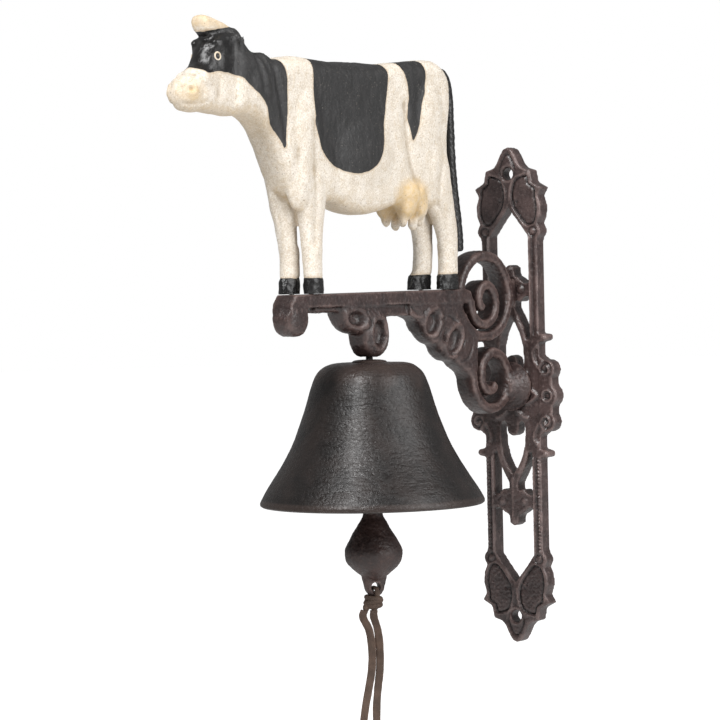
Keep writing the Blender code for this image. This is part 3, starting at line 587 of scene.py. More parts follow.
# Routes of the two lace ends, in mm from the lug's hole: (x, reach from the bell axis, height)
LONG_ROUTE = [
    (-2.0, 6.2, -11.4), (-2.6, 6.6, -15), (-1.6, 3.0, -22), (-0.9, 1.9, -32), (-1.0, 2.4, -42),
    (-1.6, 4.6, -52), (-2.2, 7.0, -62), (-2.6, 9.2, -76), (-2.4, 8.6, -94), (-2.2, 7.4, -112),
    (-2.0, 6.6, -130), (-2.0, 6.4, -150), (-2.0, 6.8, -170),
]
SHORT_ROUTE = [
    (1.4, 2.6, -11.6), (1.6, 3.0, -15), (1.6, 0.0, -22), (1.6, -1.4, -32), (1.6, -1.0, -42),
    (1.4, 0.8, -52), (1.4, 2.2, -62), (1.6, 2.4, -76), (2.0, 1.4, -94), (2.2, 0.2, -112),
    (2.2, -0.6, -130), (2.0, -0.6, -154),
]
LACE_WIDTH = 4.0
LACE_THICK = 1.5
KNOT_OUT = 1.0
# The knot's turns: (tilt, lean, height from the hole, radius), in degrees and mm
KNOT_WRAPS = [(6, -5, -5.4, 3.7), (-7, 6, -7.3, 4.0), (4, 9, -9.1, 3.6), (38, 30, -7.2, 3.4)]
LEATHER = leather("brown_leather")


def lace_point(x, out, z):
    return (x * MM, -(BELL_REACH + out) * MM, (LUG_HOLE_Z + z) * MM)


def strap_mesh(route, turns, start_turn, seed):
    """A flat leather strip along a route in metres, slowly twisting, its edges a little uneven."""
    path = [Vector(p) for p in route]
    side = Vector((1, 0, 0))
    verts = []
    edges = []
    count = 14
    for i, here in enumerate(path):
        way = (path[min(i + 1, len(path) - 1)] - path[max(i - 1, 0)]).normalized()
        side = (side - way * side.dot(way)).normalized()
        share = i / (len(path) - 1)
        turn = start_turn + turns * 2 * math.pi * share
        flat = Quaternion(way, turn) @ side
        up = way.cross(flat)
        wobble = noise.noise(Vector((share * 40, seed, 0)))
        width = LACE_WIDTH * (1 + 0.07 * wobble) / 2
        for j in range(count):
            angle = 2 * math.pi * j / count
            a = math.copysign(abs(math.cos(angle)) ** 0.55, math.cos(angle))
            b = math.copysign(abs(math.sin(angle)) ** 0.55, math.sin(angle))
            cup = 0.16 * a * a
            verts.append(here + flat * (a * width * MM) + up * ((b * LACE_THICK / 2 + cup) * MM))
            edges.append(abs(a) ** 6)
    mesh = grid_mesh(verts, len(path), count)
    store(mesh, "edge", np.array(edges))
    return mesh


def make_lace():
    side = 3.9
    half = [(side, -6.2), (side, -4.4), (side * 0.98, -1.6), (side * 0.7, 0.1)]
    loop = half + [(0, 0.6)] + [(-x, z) for x, z in reversed(half)]
    band = tube([(x, 0, z - 0.9) for x, z in smooth_line(loop, 6)], 0.85, resolution=4)
    points = points_of(band)
    points[:, 1] *= 1.6
    move_to(band, points)
    band.transform(Matrix.Translation((0, -BELL_REACH * MM, LUG_HOLE_Z * MM)) @ LUG_TURN)
    roughen(band, 0.10, 0.10)
    store_edges(band, 4)
    loop_piece = show("lace_loop_band", band, LEATHER, "lace", ["lace_loop"])
    wraps = []
    for tilt, lean, drop, wide in KNOT_WRAPS:
        ring = []
        for i in range(40):
            angle = 2 * math.pi * i / 40
            ring.append(Vector((wide * math.cos(angle), wide * math.sin(angle), 0)))
        spin = Matrix.Rotation(math.radians(tilt), 3, "Y") @ Matrix.Rotation(math.radians(lean), 3, "X")
        ring = [spin @ p + Vector((0, -(BELL_REACH + KNOT_OUT), LUG_HOLE_Z + drop)) for p in ring]
        wraps.append(tube([tuple(p) for p in ring], 1.2, True))
    wraps.append(ball((0, BELL_REACH + KNOT_OUT, LUG_HOLE_Z - 7.2), (3.4, 3.6, 3.2)))
    wraps.append(ball((-1.8, BELL_REACH + 5.0, LUG_HOLE_Z - 10.2), (1.7, 1.7, 2.2)))
    wraps.append(ball((1.4, BELL_REACH + 2.2, LUG_HOLE_Z - 10.4), (1.7, 1.7, 2.2)))
    knot = melted(joined(wraps), 0.25, 1)
    roughen(knot, 0.08, 0.12)
    store_edges(knot, 8)
    knot_piece = show("lace_knot_wraps", knot, LEATHER, "lace", ["lace_knot"])
    rows = (("lace_strip_long", LONG_ROUTE, "lace_end_long", 0.12, -0.9, [knot_piece, loop_piece]),
            ("lace_strip_short", SHORT_ROUTE, "lace_end_short", -0.10, -0.4, [knot_piece]))
    for name, route, node, turns, start, pieces in rows:
        path = [lace_point(*point) for point in smooth_line(route, 8)]
        piece = show(name, strap_mesh(path, turns, start, start), LEATHER, "lace", [node])


make_lace()


# -------- wall plate

BROWN = cast_iron("cast_brown", (0.025, 0.0145, 0.0135), (0.043, 0.0245, 0.0220),
                  (0.135, 0.088, 0.078), (0.006, 0.0045, 0.0045), 0.36, 0.34, 0.18)

# A lighter copy of the arm's iron for the plate: painted light on its lit front, with stronger painted
# highlights on its raised edges.
LIT_PLATE_BROWN = cast_iron("cast_brown_plate_lit", (0.036, 0.022, 0.0205), (0.066, 0.042, 0.039),
                        (0.185, 0.130, 0.120), (0.008, 0.006, 0.006), 0.34, 0.32, 0.22)

PANEL = [
    (5.2, 115.6), (9.0, 117.2), (12.2, 117.4), (13.0, 113.6), (17.0, 110.8), (17.0, 107.4), (18.0, 102.0),
    (17.6, 96.8), (15.6, 92.6), (12.2, 92.0), (8.6, 95.4), (4.4, 101.0), (2.9, 106.0), (3.4, 111.6),
]


def plate_relief(x, z):
    """Relief of the plate's front in mm, mirrored both ways but for the beads and stipple."""
    ax, az = np.abs(x), np.abs(z)
    points = np.column_stack((ax, az))
    lower = np.where(z < 0, 1.0, 0.0)
    panel = depth_in(points, smooth_line(PANEL, 3, True))
    stipple = np.array([noise.noise(Vector((a, 0.0, b)) / 0.9) for a, b in zip(x, z)])
    rise = 0.30 * ridge(panel + 1.2, 0.8) - 1.15 * ridge(panel, 0.62) - 0.30 * step(panel, 0.2, 1.0)
    rise += 0.22 * stipple * step(panel, 0.2, 1.2)
    rise -= 0.9 * ridge(np.hypot(ax - 5.4, az - 104.2), 1.1)
    knob = np.hypot(ax - 15.4, az - 88.0)
    rise += 0.25 * step(knob, 1.9, 0.4) - 0.65 * ridge(knob - 2.4, 0.5)
    arch = [(3.9, 117.4), (4.9, 121.0), (3.6, 125.2), (1.6, 128.6), (0, 129.8)]
    arch = near(points, smooth_line(arch, 5))
    rise -= 0.75 * ridge(arch, 0.6)
    rise += 0.45 * ridge(near(points, [(0, 101.5), (1.0, 106.0), (1.4, 110.0), (3.4, 114.6)]), 0.8)
    rise += 0.35 * ridge(np.hypot(ax, az - 119.2) - 4.5, 0.6)
    on_bar = step(az, 31.5, 34.5) * step(az, 87.0, 84.0)
    rise += on_bar * (0.85 * ridge(ax - 13.4, 0.7) - 0.55 * ridge(ax - 14.9, 0.45))
    beads = ridge(ax - 16.5, 0.95) * (0.5 + 0.5 * np.cos(2 * math.pi * (z + 0.5 * (ax - 16.5)) / 1.95))
    rise += on_bar * (beads * 0.9 * lower - 0.35 * step(ax, 14.8, 15.6))
    for cx, cz, outer, start, end in ((22.0, 14.2, 3.9, 120, 520), (22.2, 0.0, 4.6, -100, 330)):
        curl = near(points, spiral(cx, cz, start, end, outer, 1.1))
        dish = step(np.hypot(ax - cx, az - cz), 4.6, 3.2) * (1 - ridge(curl, 1.1))
        rise += 0.55 * ridge(curl, 0.75) - 0.85 * dish
    ribs = [
        [(16.8, 27.0), (14.0, 23.4), (15.0, 18.6), (17.4, 15.0)],
        [(9.8, 12.0), (6.0, 10.4), (3.0, 7.0), (2.0, 0.0)],
        [(16.4, 0.0), (12.6, 2.8), (9.0, 4.0), (6.0, 2.4)],
    ]
    core = step(az, 29.0, 24.0) * step(ax, 18.6, 17.0)
    rise -= 0.55 * core
    for rib in ribs:
        rise += 1.05 * core * ridge(near(points, smooth_line(rib, 4)), 1.05)
    rise += 0.9 * ridge(near(points, smooth_line([(0, 45.0), (0, 56.0), (0, 67.5)], 3)), 1.3)
    bud = np.hypot(ax - 7.2, az - 57.2)
    rise += 0.8 * ridge(bud, 1.7) - 0.4 * ridge(bud - 2.6, 0.5)
    rise += 0.28 * stipple * lower
    rise += 0.7 * ridge(np.hypot(ax - 21.4, az - 31.2), 1.3)
    stem = near(points, [(3.6, 42.0), (7.4, 35.0), (10.4, 26.0), (10.6, 16.0)])
    rise += 0.35 * ridge(stem, 0.9) * step(az, 47, 43)
    return rise


def make_plate():
    mesh = melted(frame["nodes"]["wall_plate"].data.copy(), 0.62, 3)
    points = points_of(mesh)
    normals = normals_of(mesh)
    front = step(-normals[:, 1], 0.35, 0.8) * step(points[:, 1], -5.0, -6.6)
    points[:, 1] -= plate_relief(points[:, 0], points[:, 2]) * front
    move_to(mesh, points)
    roughen(mesh, 0.13, 0.10, lambda p: step(p[:, 1], -0.6, -1.6))
    mesh = thinned(mesh, 0.85)
    store_edges(mesh, 8)
    show("wall_plate_casting", mesh, LIT_PLATE_BROWN, "bracket", ["wall_plate"])


# -------- arm bracket

ARM_GROOVES = [
    [(104, 50.0), (97.5, 46.0), (91.0, 49.0)],
    [(92.0, 33.6), (84.0, 33.4), (79.0, 37.6)],
    [(78.6, 43.0), (72.0, 44.6), (66.0, 42.0)],
    [(72.0, 24.6), (64.0, 25.0), (58.0, 31.0)],
    [(61.5, 20.4), (55.0, 22.0), (50.4, 29.0)],
    [(143.6, 48.6), (139.4, 42.4), (143.4, 39.4)],
]

# Hollows in the hanger, the leaf and the lobe: (reach, height, half reach, half height, tilt)
ARM_OVALS = [
    (BELL_REACH - 1.4, 37.4, 5.4, 7.1, 0), (86.4, 41.2, 5.3, 7.1, 42), (67.4, 31.4, 5.1, 8.1, 36),
    (151.4, 45.4, 7.0, 4.2, 4),
]
ARM_FOOT_Y = -8.3


def make_arm():
    """The arm's casting with rounded edges, raised rims and grooves on both faces."""
    mesh = melted(frame["nodes"]["arm_bracket"].data.copy(), 0.60, 9)
    points = points_of(mesh)
    reach, height = -points[:, 1], points[:, 2]
    scrolls = step(reach, 66, 61)
    leaf = step(height, 54, 48) * step(reach, 56, 62) * step(reach, 104, 98)
    hanger = step(height, 52, 47) * step(reach, 116, 124)
    round_off = np.maximum.reduce([0.55 * scrolls, leaf, hanger])[:, None]
    points = points + (relaxed(mesh, 26) - points) * round_off
    move_to(mesh, points)
    swell = 0.25 + 0.75 * round_off
    points = points + normals_of(mesh) * swell
    points[:, 2] = np.where(reach > 62, np.minimum(points[:, 2], SADDLE_Z - GAP), points[:, 2])
    points[:, 1] = np.minimum(points[:, 1], ARM_FOOT_Y)
    move_to(mesh, points)
    normals = normals_of(mesh)
    plane = np.column_stack((-points[:, 1], points[:, 2]))
    face = step(np.abs(normals[:, 0]), 0.4, 0.85)
    rise = np.zeros(len(points))
    for groove in ARM_GROOVES:
        rise -= 0.6 * ridge(near(plane, smooth_line(groove, 4)), 0.75)
    for reach, z, half_reach, half_z, tilt in ARM_OVALS:
        turn = math.radians(tilt)
        across = (plane[:, 0] - reach) * math.cos(turn) + (plane[:, 1] - z) * math.sin(turn)
        along = (plane[:, 1] - z) * math.cos(turn) - (plane[:, 0] - reach) * math.sin(turn)
        rim = (np.hypot(across / half_reach, along / half_z) - 1) * min(half_reach, half_z)
        rise += 0.7 * ridge(rim - 1.1, 1.4) * face - 1.4 * step(-rim, 0.2, 1.8) * face
    points[:, 0] += np.sign(points[:, 0]) * rise * face
    move_to(mesh, points)

    def away(p):
        """Fades the roughness out at the foot and under the hoofs."""
        return step(-p[:, 1], 8.4, 9.4) * step(np.abs(p[:, 2] - SADDLE_Z + GAP), 0.1, 0.9)

    roughen(mesh, 0.20, 0.24, away)
    store_edges(mesh, 10)
    show("arm_casting", mesh, BROWN, "bracket", ["arm_bracket"])


# -------- cow

BODY = [
    (246, 186.5), (240, 182.5), (234, 177.4), (224, 173.2), (212, 172.4), (198, 174.4), (180, 173.4),
    (154, 172.2), (136, 172.4), (118, 174.2), (101, 175.6), (88, 176.8), (80, 175.6), (73.5, 171),
    (70.4, 164), (70.6, 152), (73, 138), (73, 124), (75, 108), (80, 101), (96, 101), (114, 102.4),
    (128, 99.4), (144, 97.2), (158, 99.2), (170, 103.2), (186, 103), (198, 104.6), (205.5, 111),
    (210.5, 120), (215.4, 129), (222, 138.6), (232, 144.6), (246, 146), (248, 160), (247, 178),
]
HEAD = [
    (238, 184), (247, 185.4), (253, 184), (258, 180), (261.4, 173.4), (264, 168), (270, 163.2),
    (272, 147.6), (262, 146), (250, 145), (238, 145.4), (230, 160),
]
LEGS = [
    [(6, 187.6, 118, 5.2, 13), (5.2, 186.4, 102, 5.4, 9.8), (4.8, 185.8, 90, 4.6, 7.6),
     (4.6, 185.4, 82, 4.4, 6.8), (4.6, 185.2, 76, 4.1, 6.2), (4.6, 184.8, 66.5, 4.0, 5.8),
     (4.6, 184.6, 65, 4.3, 6.0), (4.6, 184.4, 56, 4.3, 6.4)],
    [(-6, 195, 118, 5.2, 13), (-5.2, 194.2, 102, 5.4, 10.2), (-4.8, 193, 90, 4.5, 7.4),
     (-4.6, 192, 82, 4.2, 6.6), (-4.6, 191.4, 76, 4.0, 6.2), (-4.6, 191.6, 66.5, 4.0, 6.2),
     (-4.6, 191.9, 65, 4.3, 6.4), (-4.6, 192.4, 56, 4.3, 6.6)],
    [(6, 90, 142, 3.6, 6), (6, 88, 134, 5.0, 11.4), (5.8, 84.6, 124, 5.2, 13),
     (5.4, 81.6, 112, 5.2, 12.6), (4.8, 76.4, 100, 4.8, 10.6),
     (4.6, 72.6, 91, 4.4, 8.6), (4.6, 70.8, 80, 4.2, 7.0), (4.6, 70.8, 68, 4.2, 6.8),
     (4.6, 71.2, 66, 4.3, 7.6), (4.6, 71.4, 56, 4.3, 8.2)],
    [(-6, 92, 142, 3.6, 6), (-6, 90, 134, 5.0, 11.4), (-5.8, 88, 124, 5.2, 13),
     (-5.4, 87, 112, 5.2, 12.6), (-4.8, 84, 100, 4.8, 10.2),
     (-4.6, 81, 91, 4.4, 8.0), (-4.6, 80, 80, 4.2, 6.6), (-4.6, 81.4, 68, 4.2, 6.8),
     (-4.6, 83.4, 66, 4.3, 8.4), (-4.6, 84.4, 56, 4.3, 8.8)],
]
TAIL = [(74, 171), (69.6, 167), (67.2, 158), (66.4, 140), (65.6, 122), (63.6, 106), (61.2, 92), (60.4, 78)]

# Painted patches (reach, height): read off the photo by eye, put into mm by a scratch script
HEAD_PATCH = [
    (290, 168.2), (281, 167.2), (276.2, 167.8), (271.8, 167.6), (268.1, 165.8), (265.3, 163.5),
    (259, 164.6), (254.8, 164.4), (244.3, 162.9), (236.8, 158.3), (226.3, 150.9), (222, 142.3),
    (214.5, 133.6), (210.7, 129.6), (209.7, 141.6), (209.2, 156.3), (209.8, 166.1), (211.2, 172.4),
    (212, 182), (228, 190), (239.6, 187.2), (249.2, 185.4), (264.2, 183), (270.2, 181.3), (290, 180),
]
SADDLE_PATCH = [
    (188.4, 184), (188.6, 172), (188.9, 156.9), (189, 146), (186.5, 135.2), (182.2, 127.9),
    (174.8, 122.0), (161.7, 118.0), (149.9, 118.2), (141.0, 121.6), (135.1, 128.4), (132.7, 138.3),
    (129.9, 153.7), (127.2, 167.1), (127.8, 171.6), (129.4, 175), (130, 184),
]
STRIPE_PATCH = [
    (115.5, 184), (115.1, 172.4), (112.2, 166.6), (110.3, 157.4), (110.9, 146), (108.7, 139.8),
    (106.9, 134.9), (102.3, 142.1), (100.3, 152.5), (96.6, 162), (95.2, 170.4), (95.8, 177), (95.6, 184),
]
EYE = (257.4, 171.7)
TAIL_X = 3.7
TAIL_RADIUS = 3.2
HOOF_TOP = 66.4
SEAM = 0.015


def cow_masses():
    """Ellipsoids over the flat body: ((x, reach, z), half sizes)."""
    masses = [
        ((0, 272.4, 154.2), (8.6, 8.6, 8.8)), ((0, 269.4, 149.8), (7.4, 8.2, 4.6)),
        ((0, 254.2, 167.6), (9.0, 9.8, 13.6)),
        ((0, 263.6, 160.4), (7.4, 7.8, 8.0)), ((0, 142, 166), (8.8, 66, 7.6)),
    ]
    for side in (1, -1):
        masses += [
            ((side * 4.8, 193, 138), (7.6, 17, 32)), ((side * 5.2, 196, 116), (6.2, 9, 17)),
            ((side * 4.6, 92, 148), (8.0, 17, 26)), ((side * 5.2, 88, 122), (6.0, 11, 18)),
            ((side * 3.4, 146, 128), (9.2, 36, 29)), ((side * 4.6, 106.0, 108.0), (8.2, 13.0, 9.8)),
            ((side * 6.2, 99.0, 101.4), (5.4, 6.0, 7.2)), ((side * 6.2, 109.2, 101.8), (5.4, 6.0, 7.0)),
            ((side * 6.6, 254.6, 178.4), (2.4, 5.2, 2.3)), ((side * 6.6, 226, 160), (5.0, 16, 15)),
            ((side * 6.6, 266.0, 160.6), (2.6, 5.2, 4.4)), ((side * 4.8, 73.4, 98.4), (3.6, 4.4, 4.6)),
        ]
        for reach, drop in ((96.0, 95.6), (102.4, 93.6), (110.4, 95.8)):
            masses.append(((side * 5.4, reach, drop), (2.7, 2.9, 4.8)))
    return masses


HORN = [
    (238, 181.5), (241.6, 185.6), (247, 188.2), (253.4, 189.8), (258.8, 191.2), (262.2, 191.0),
    (263.4, 188.6),
    (262.4, 184.8), (259.4, 181.4), (250, 179),
]


# Folds and muscle lines of the flank: (line, width, depth)
FOLDS = [
    ([(234, 177), (229.4, 168), (227, 157)], 1.9, 0.6),
    ([(227, 174), (222.6, 165), (220, 154)], 2.0, 0.65),
    ([(220, 172), (216, 160), (213, 146), (210.4, 134)], 2.4, 0.85),
    ([(189.4, 142), (189.4, 127), (188.4, 113), (187.8, 103), (187.4, 84)], 2.6, 1.1),
    ([(216, 120), (209.8, 111), (206.4, 102), (201.6, 93)], 2.4, 0.9),
    ([(201, 128), (203.4, 115), (201.4, 104)], 2.6, 0.6),
    ([(113.4, 152), (112.0, 135), (108.6, 121), (103.0, 113)], 3.0, 1.15),
    ([(80, 130), (84.0, 115), (84.4, 104)], 2.8, 0.8),
    ([(170, 140), (171.4, 124), (169, 110)], 4.0, 0.5),
    ([(181, 150), (175, 134), (165, 122)], 4.4, 0.4),
    ([(83, 101), (78.6, 95), (76.6, 84)], 1.8, 0.6),
    ([(281.6, 149.4), (274, 148.6), (266.6, 150.2)], 0.9, 0.7),
    ([(262.6, 182.4), (254, 183.0), (244, 183.6)], 1.2, 0.8),
    ([(261, 164.4), (257.4, 159.8), (258.4, 153.4)], 2.2, 0.7),
    ([(103.8, 110), (104.0, 100), (104.6, 94)], 1.3, 0.7),
]
NOSTRIL = (276.4, 155.8)


def cow_skin():
    """The whole figure as one skin, with folds, muscle lines, nostrils and mouth pressed in."""
    solids = [slab(smooth_line(BODY, 3, True), 10.6, 7.0), slab(smooth_line(HEAD, 3, True), 8.4, 5.6)]
    solids.append(slab(smooth_line(HORN, 3, True), 5.0, 3.2))
    solids += [loft(sections) for sections in LEGS]
    solids += [ball(centre, radii) for centre, radii in cow_masses()]
    solids.append(tube([(TAIL_X, -reach, z) for reach, z in smooth_line(TAIL, 4)], TAIL_RADIUS))
    mesh = melted(joined(solids), 0.8, 9)
    points = points_of(mesh)
    normals = normals_of(mesh)
    plane = np.column_stack((-points[:, 1], points[:, 2]))
    flank = step(np.abs(normals[:, 0]), 0.2, 0.6)
    rise = np.zeros(len(points))
    for line, width, depth in FOLDS:
        rise -= depth * ridge(near(plane, smooth_line(line, 4)), width)
    nostril = np.linalg.norm(plane - NOSTRIL, axis=1)
    rise += 0.5 * ridge(nostril - 2.3, 0.9) - 1.3 * ridge(nostril, 1.2)
    socket = np.linalg.norm(plane - EYE, axis=1)
    brow = near(plane, [(251.6, 175.0), (255.6, 176.4), (259.0, 175.4)])
    rise += 0.5 * ridge(brow, 1.4) - 0.7 * ridge(socket, 2.8)
    rise *= flank
    face_end = np.column_stack((points[:, 0], points[:, 2]))
    for side in (1, -1):
        pit = ridge(np.linalg.norm(face_end - (side * 3.2, 157.0), axis=1), 1.2)
        rise -= 0.8 * pit * step(-points[:, 1], 275, 278)
    hoof = step(points[:, 2], 67.0, 65.6)
    rise += hoof * 0.45 * np.array([noise.noise(Vector(p) / 2.2) for p in points])
    rise -= 0.35 * ridge(points[:, 2] - HOOF_TOP, 0.6)
    tail = near(np.column_stack((points[:, 0], plane)), [(TAIL_X, reach, z) for reach, z in TAIL])
    strand = np.cos(2 * math.pi * (points[:, 2] + 2.2 * points[:, 0]) / 3.6)
    rise += 0.10 * strand * step(tail, 4.6, 3.4) * step(points[:, 2], 166, 150)
    move_to(mesh, points + normals * rise[:, None])
    roughen(mesh, 0.10, 0.16)
    return mesh


def half_of(mesh, side):
    """One side of the skin, closed flat along the middle and under the hoofs."""
    work = bmesh.new()
    work.from_mesh(mesh)
    cuts = [((side * SEAM * MM, 0, 0), (-side, 0, 0)), ((0, 0, SADDLE_Z * MM), (0, 0, -1))]
    for point, normal in cuts:
        bmesh.ops.bisect_plane(work, geom=work.verts[:] + work.edges[:] + work.faces[:], dist=0.001 * MM,
                               plane_co=point, plane_no=normal, clear_outer=True)
        rim = [edge for edge in work.edges if edge.is_boundary]
        bmesh.ops.triangle_fill(work, edges=rim, use_beauty=True, use_dissolve=False)
    bmesh.ops.recalc_face_normals(work, faces=work.faces)
    half = bpy.data.meshes.new("half")
    work.to_mesh(half)
    work.free()
    return half


def store_paint(mesh):
    """Where the black patches, the gloss, the tan paint and the painted shade under the figure lie."""
    points = points_of(mesh)
    x, z = points[:, 0], points[:, 2]
    plane = np.column_stack((-points[:, 1], z))
    patch = np.full(len(points), -99.0)
    for loop in (HEAD_PATCH, SADDLE_PATCH, STRIPE_PATCH):
        patch = np.maximum(patch, depth_in(plane, smooth_line(loop, 4, True)))
    route = [(TAIL_X, reach, height) for reach, height in smooth_line(TAIL, 3)]
    tail = TAIL_RADIUS + 0.7 - near(np.column_stack((x, plane)), route)
    hoof = HOOF_TOP - z
    store(mesh, "patch", np.maximum(np.maximum(patch, tail), hoof))
    face = step(np.linalg.norm(plane - (262, 174), axis=1), 22, 12)
    shine = [step(tail, -0.5, 0.5) * 0.75, step(hoof, -0.5, 0.5), face * 0.9]
    store(mesh, "gloss", np.maximum.reduce(shine))
    muzzle = 0.7 * ridge(np.linalg.norm(plane - (275.4, 153.8), axis=1), 5.5)
    horn = 0.55 * step(z, 183.5, 187.5) * step(plane[:, 0], 236, 240)
    udder = 0.85 * step(np.linalg.norm((plane - (108.5, 104.5)) / (17.5, 13.5), axis=1), 1.05, 0.55)
    # Surfaces facing down get part of the tan colour: painted shade under the figure.
    under = 0.35 * step(normals_of(mesh)[:, 2], -0.15, -0.8)
    store(mesh, "tan_and_shade", np.maximum.reduce([muzzle, horn, udder, under]))


def make_cow():
    paint = cow_paint("cow_paint")
    skin = cow_skin()
    store_edges(skin, 12)
    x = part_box("cow_body_screw")[0].x / MM
    low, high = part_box("cow_body_screw")
    centre = (low + high) / 2
    head = Matrix.Translation((x * MM, centre.y, centre.z))
    seat = turned([(0, 9), (4.7, 9), (4.7, 1.6), (2.2, -0.4), (2.2, -12), (0, -12)], 48)
    seat.transform(head @ Matrix.Rotation(math.radians(-90), 4, "Y"))
    for name, node, side in (("cow_skin_near", "cow_near_half", 1), ("cow_skin_far", "cow_far_half", -1)):
        half = half_of(skin, side)
        if side < 0:
            half = cut_out(half, [seat])
        store_paint(half)
        show(name, half, paint, "bracket", [node], 50)
    surface = BVHTree.FromObject(bpy.data.objects["cow_skin_near"], bpy.context.evaluated_depsgraph_get())
    for name, side in (("near", 1), ("far", -1)):
        start = Vector((30 * MM, -EYE[0] * MM, EYE[1] * MM))
        where, normal, _, _ = surface.ray_cast(start, Vector((-1, 0, 0)))
        turn = normal.to_track_quat("Z", "Y").to_matrix().to_4x4()
        flip = Matrix.Diagonal((side, 1, 1, 1))
        angles = np.linspace(0, 2 * math.pi, 40)[:-1]
        ring = tube([(1.62 * math.cos(t), 1.78 * math.sin(t), 0) for t in angles], 0.42, True)
        pupil = ball((0, 0, 0), (1.15, 1.3, 0.55))
        rows = (("cow_eye_ring_", ring, -3.0, 0.0), ("cow_pupil_", pupil, 3.0, 1.0))
        for prefix, mesh, patch, gloss in rows:
            mesh.transform(flip @ Matrix.Translation(where + normal * 0.05 * MM) @ turn)
            for key, value in (("patch", patch), ("gloss", gloss), ("tan_and_shade", 0.25), ("edge", 0.0)):
                store(mesh, key, np.full(len(mesh.vertices), value))
            if side < 0:
                mesh.flip_normals()
            show(prefix + name, mesh, paint, "bracket")


# -------- bell and clapper

BLACK = bell_lacquer("bell_black")


def bell_profile():
    """Closed (radius, height) loop: outside from the bolt hole to the lip, then inside back up."""
    outer = [
        (9.0, 22.9), (14.0, 22.9), (18.2, 22.6), (22.0, 21.6), (25.2, 19.4), (27.6, 16.4), (29.4, 11.8),
        (30.8, 7.6),
        (32.6, 1.8), (34.6, -4.3), (36.8, -10.3), (39.2, -16.5), (42.2, -22.6), (45.7, -28.7), (49.6, -34.8),
        (53.6, -41.0), (56.2, -45.6),
    ]
    lip = [(56.9, -47.2), (56.8, -48.3), (56.0, RIM_Z), (54.6, RIM_Z), (53.4, -48.2)]
    wall = 3.6
    inner = [(radius - wall, z - 0.35 * wall) for radius, z in reversed(outer[4:])]
    crown = [(16.0, CROWN_Z - wall - 0.6), (2.4, CROWN_Z - wall - 0.6), (2.4, CROWN_Z)]
    return smooth_line(outer, 6) + lip + smooth_line(inner, 4) + crown


def make_bell():
    mesh = turned(bell_profile(), 256)
    mesh.transform(BELL_AXIS)
    points = points_of(mesh)
    spot = points + (0, BELL_REACH, 0)
    radius = np.hypot(spot[:, 0], spot[:, 1])
    lift = []
    for p in spot:
        chatter = noise.noise(Vector((p[0] / 9, p[1] / 9, p[2] / 1.8)))
        fine, broad = noise.noise(Vector(p) / 1.8), noise.noise(Vector(p) / 16)
        lift.append(0.07 * chatter + 0.07 * fine + 0.22 * broad)
    keep = step(radius, 9.0, 14.0) * step(points[:, 2], RIM_Z + 0.2, RIM_Z + 2.0) * step(radius, 56.5, 54.0)
    move_to(mesh, points + normals_of(mesh) * (np.array(lift) * keep)[:, None])
    store_edges(mesh, 8)
    show("bell_casting", mesh, BLACK, "bell", ["bell_shell"])
    disc = [(2.4, 24.35), (5.6, 24.25), (7.4, 24.0), (8.3, 23.7), (8.8, 23.3), (8.7, 22.95), (2.4, 22.9)]
    top = turned([(2.4, 22.9)] + disc[:-1] + [(8.7, 22.9)], 96)
    top.transform(BELL_AXIS)
    roughen(top, 0.05, 0.06, lambda p: step(p[:, 2], 22.92, 23.2))
    store_edges(top, 4)
    show("bell_top_disc", top, BLACK, "bell", ["bell_top_washer"])


def ring_wire(reach, z, radius, wire):
    """A wire ring standing across Y, its plane facing X."""
    angles = np.linspace(0, 2 * math.pi, 49)[:-1]
    route = [(0, -reach + radius * math.cos(t), z + radius * math.sin(t)) for t in angles]
    return tube(route, wire, True)


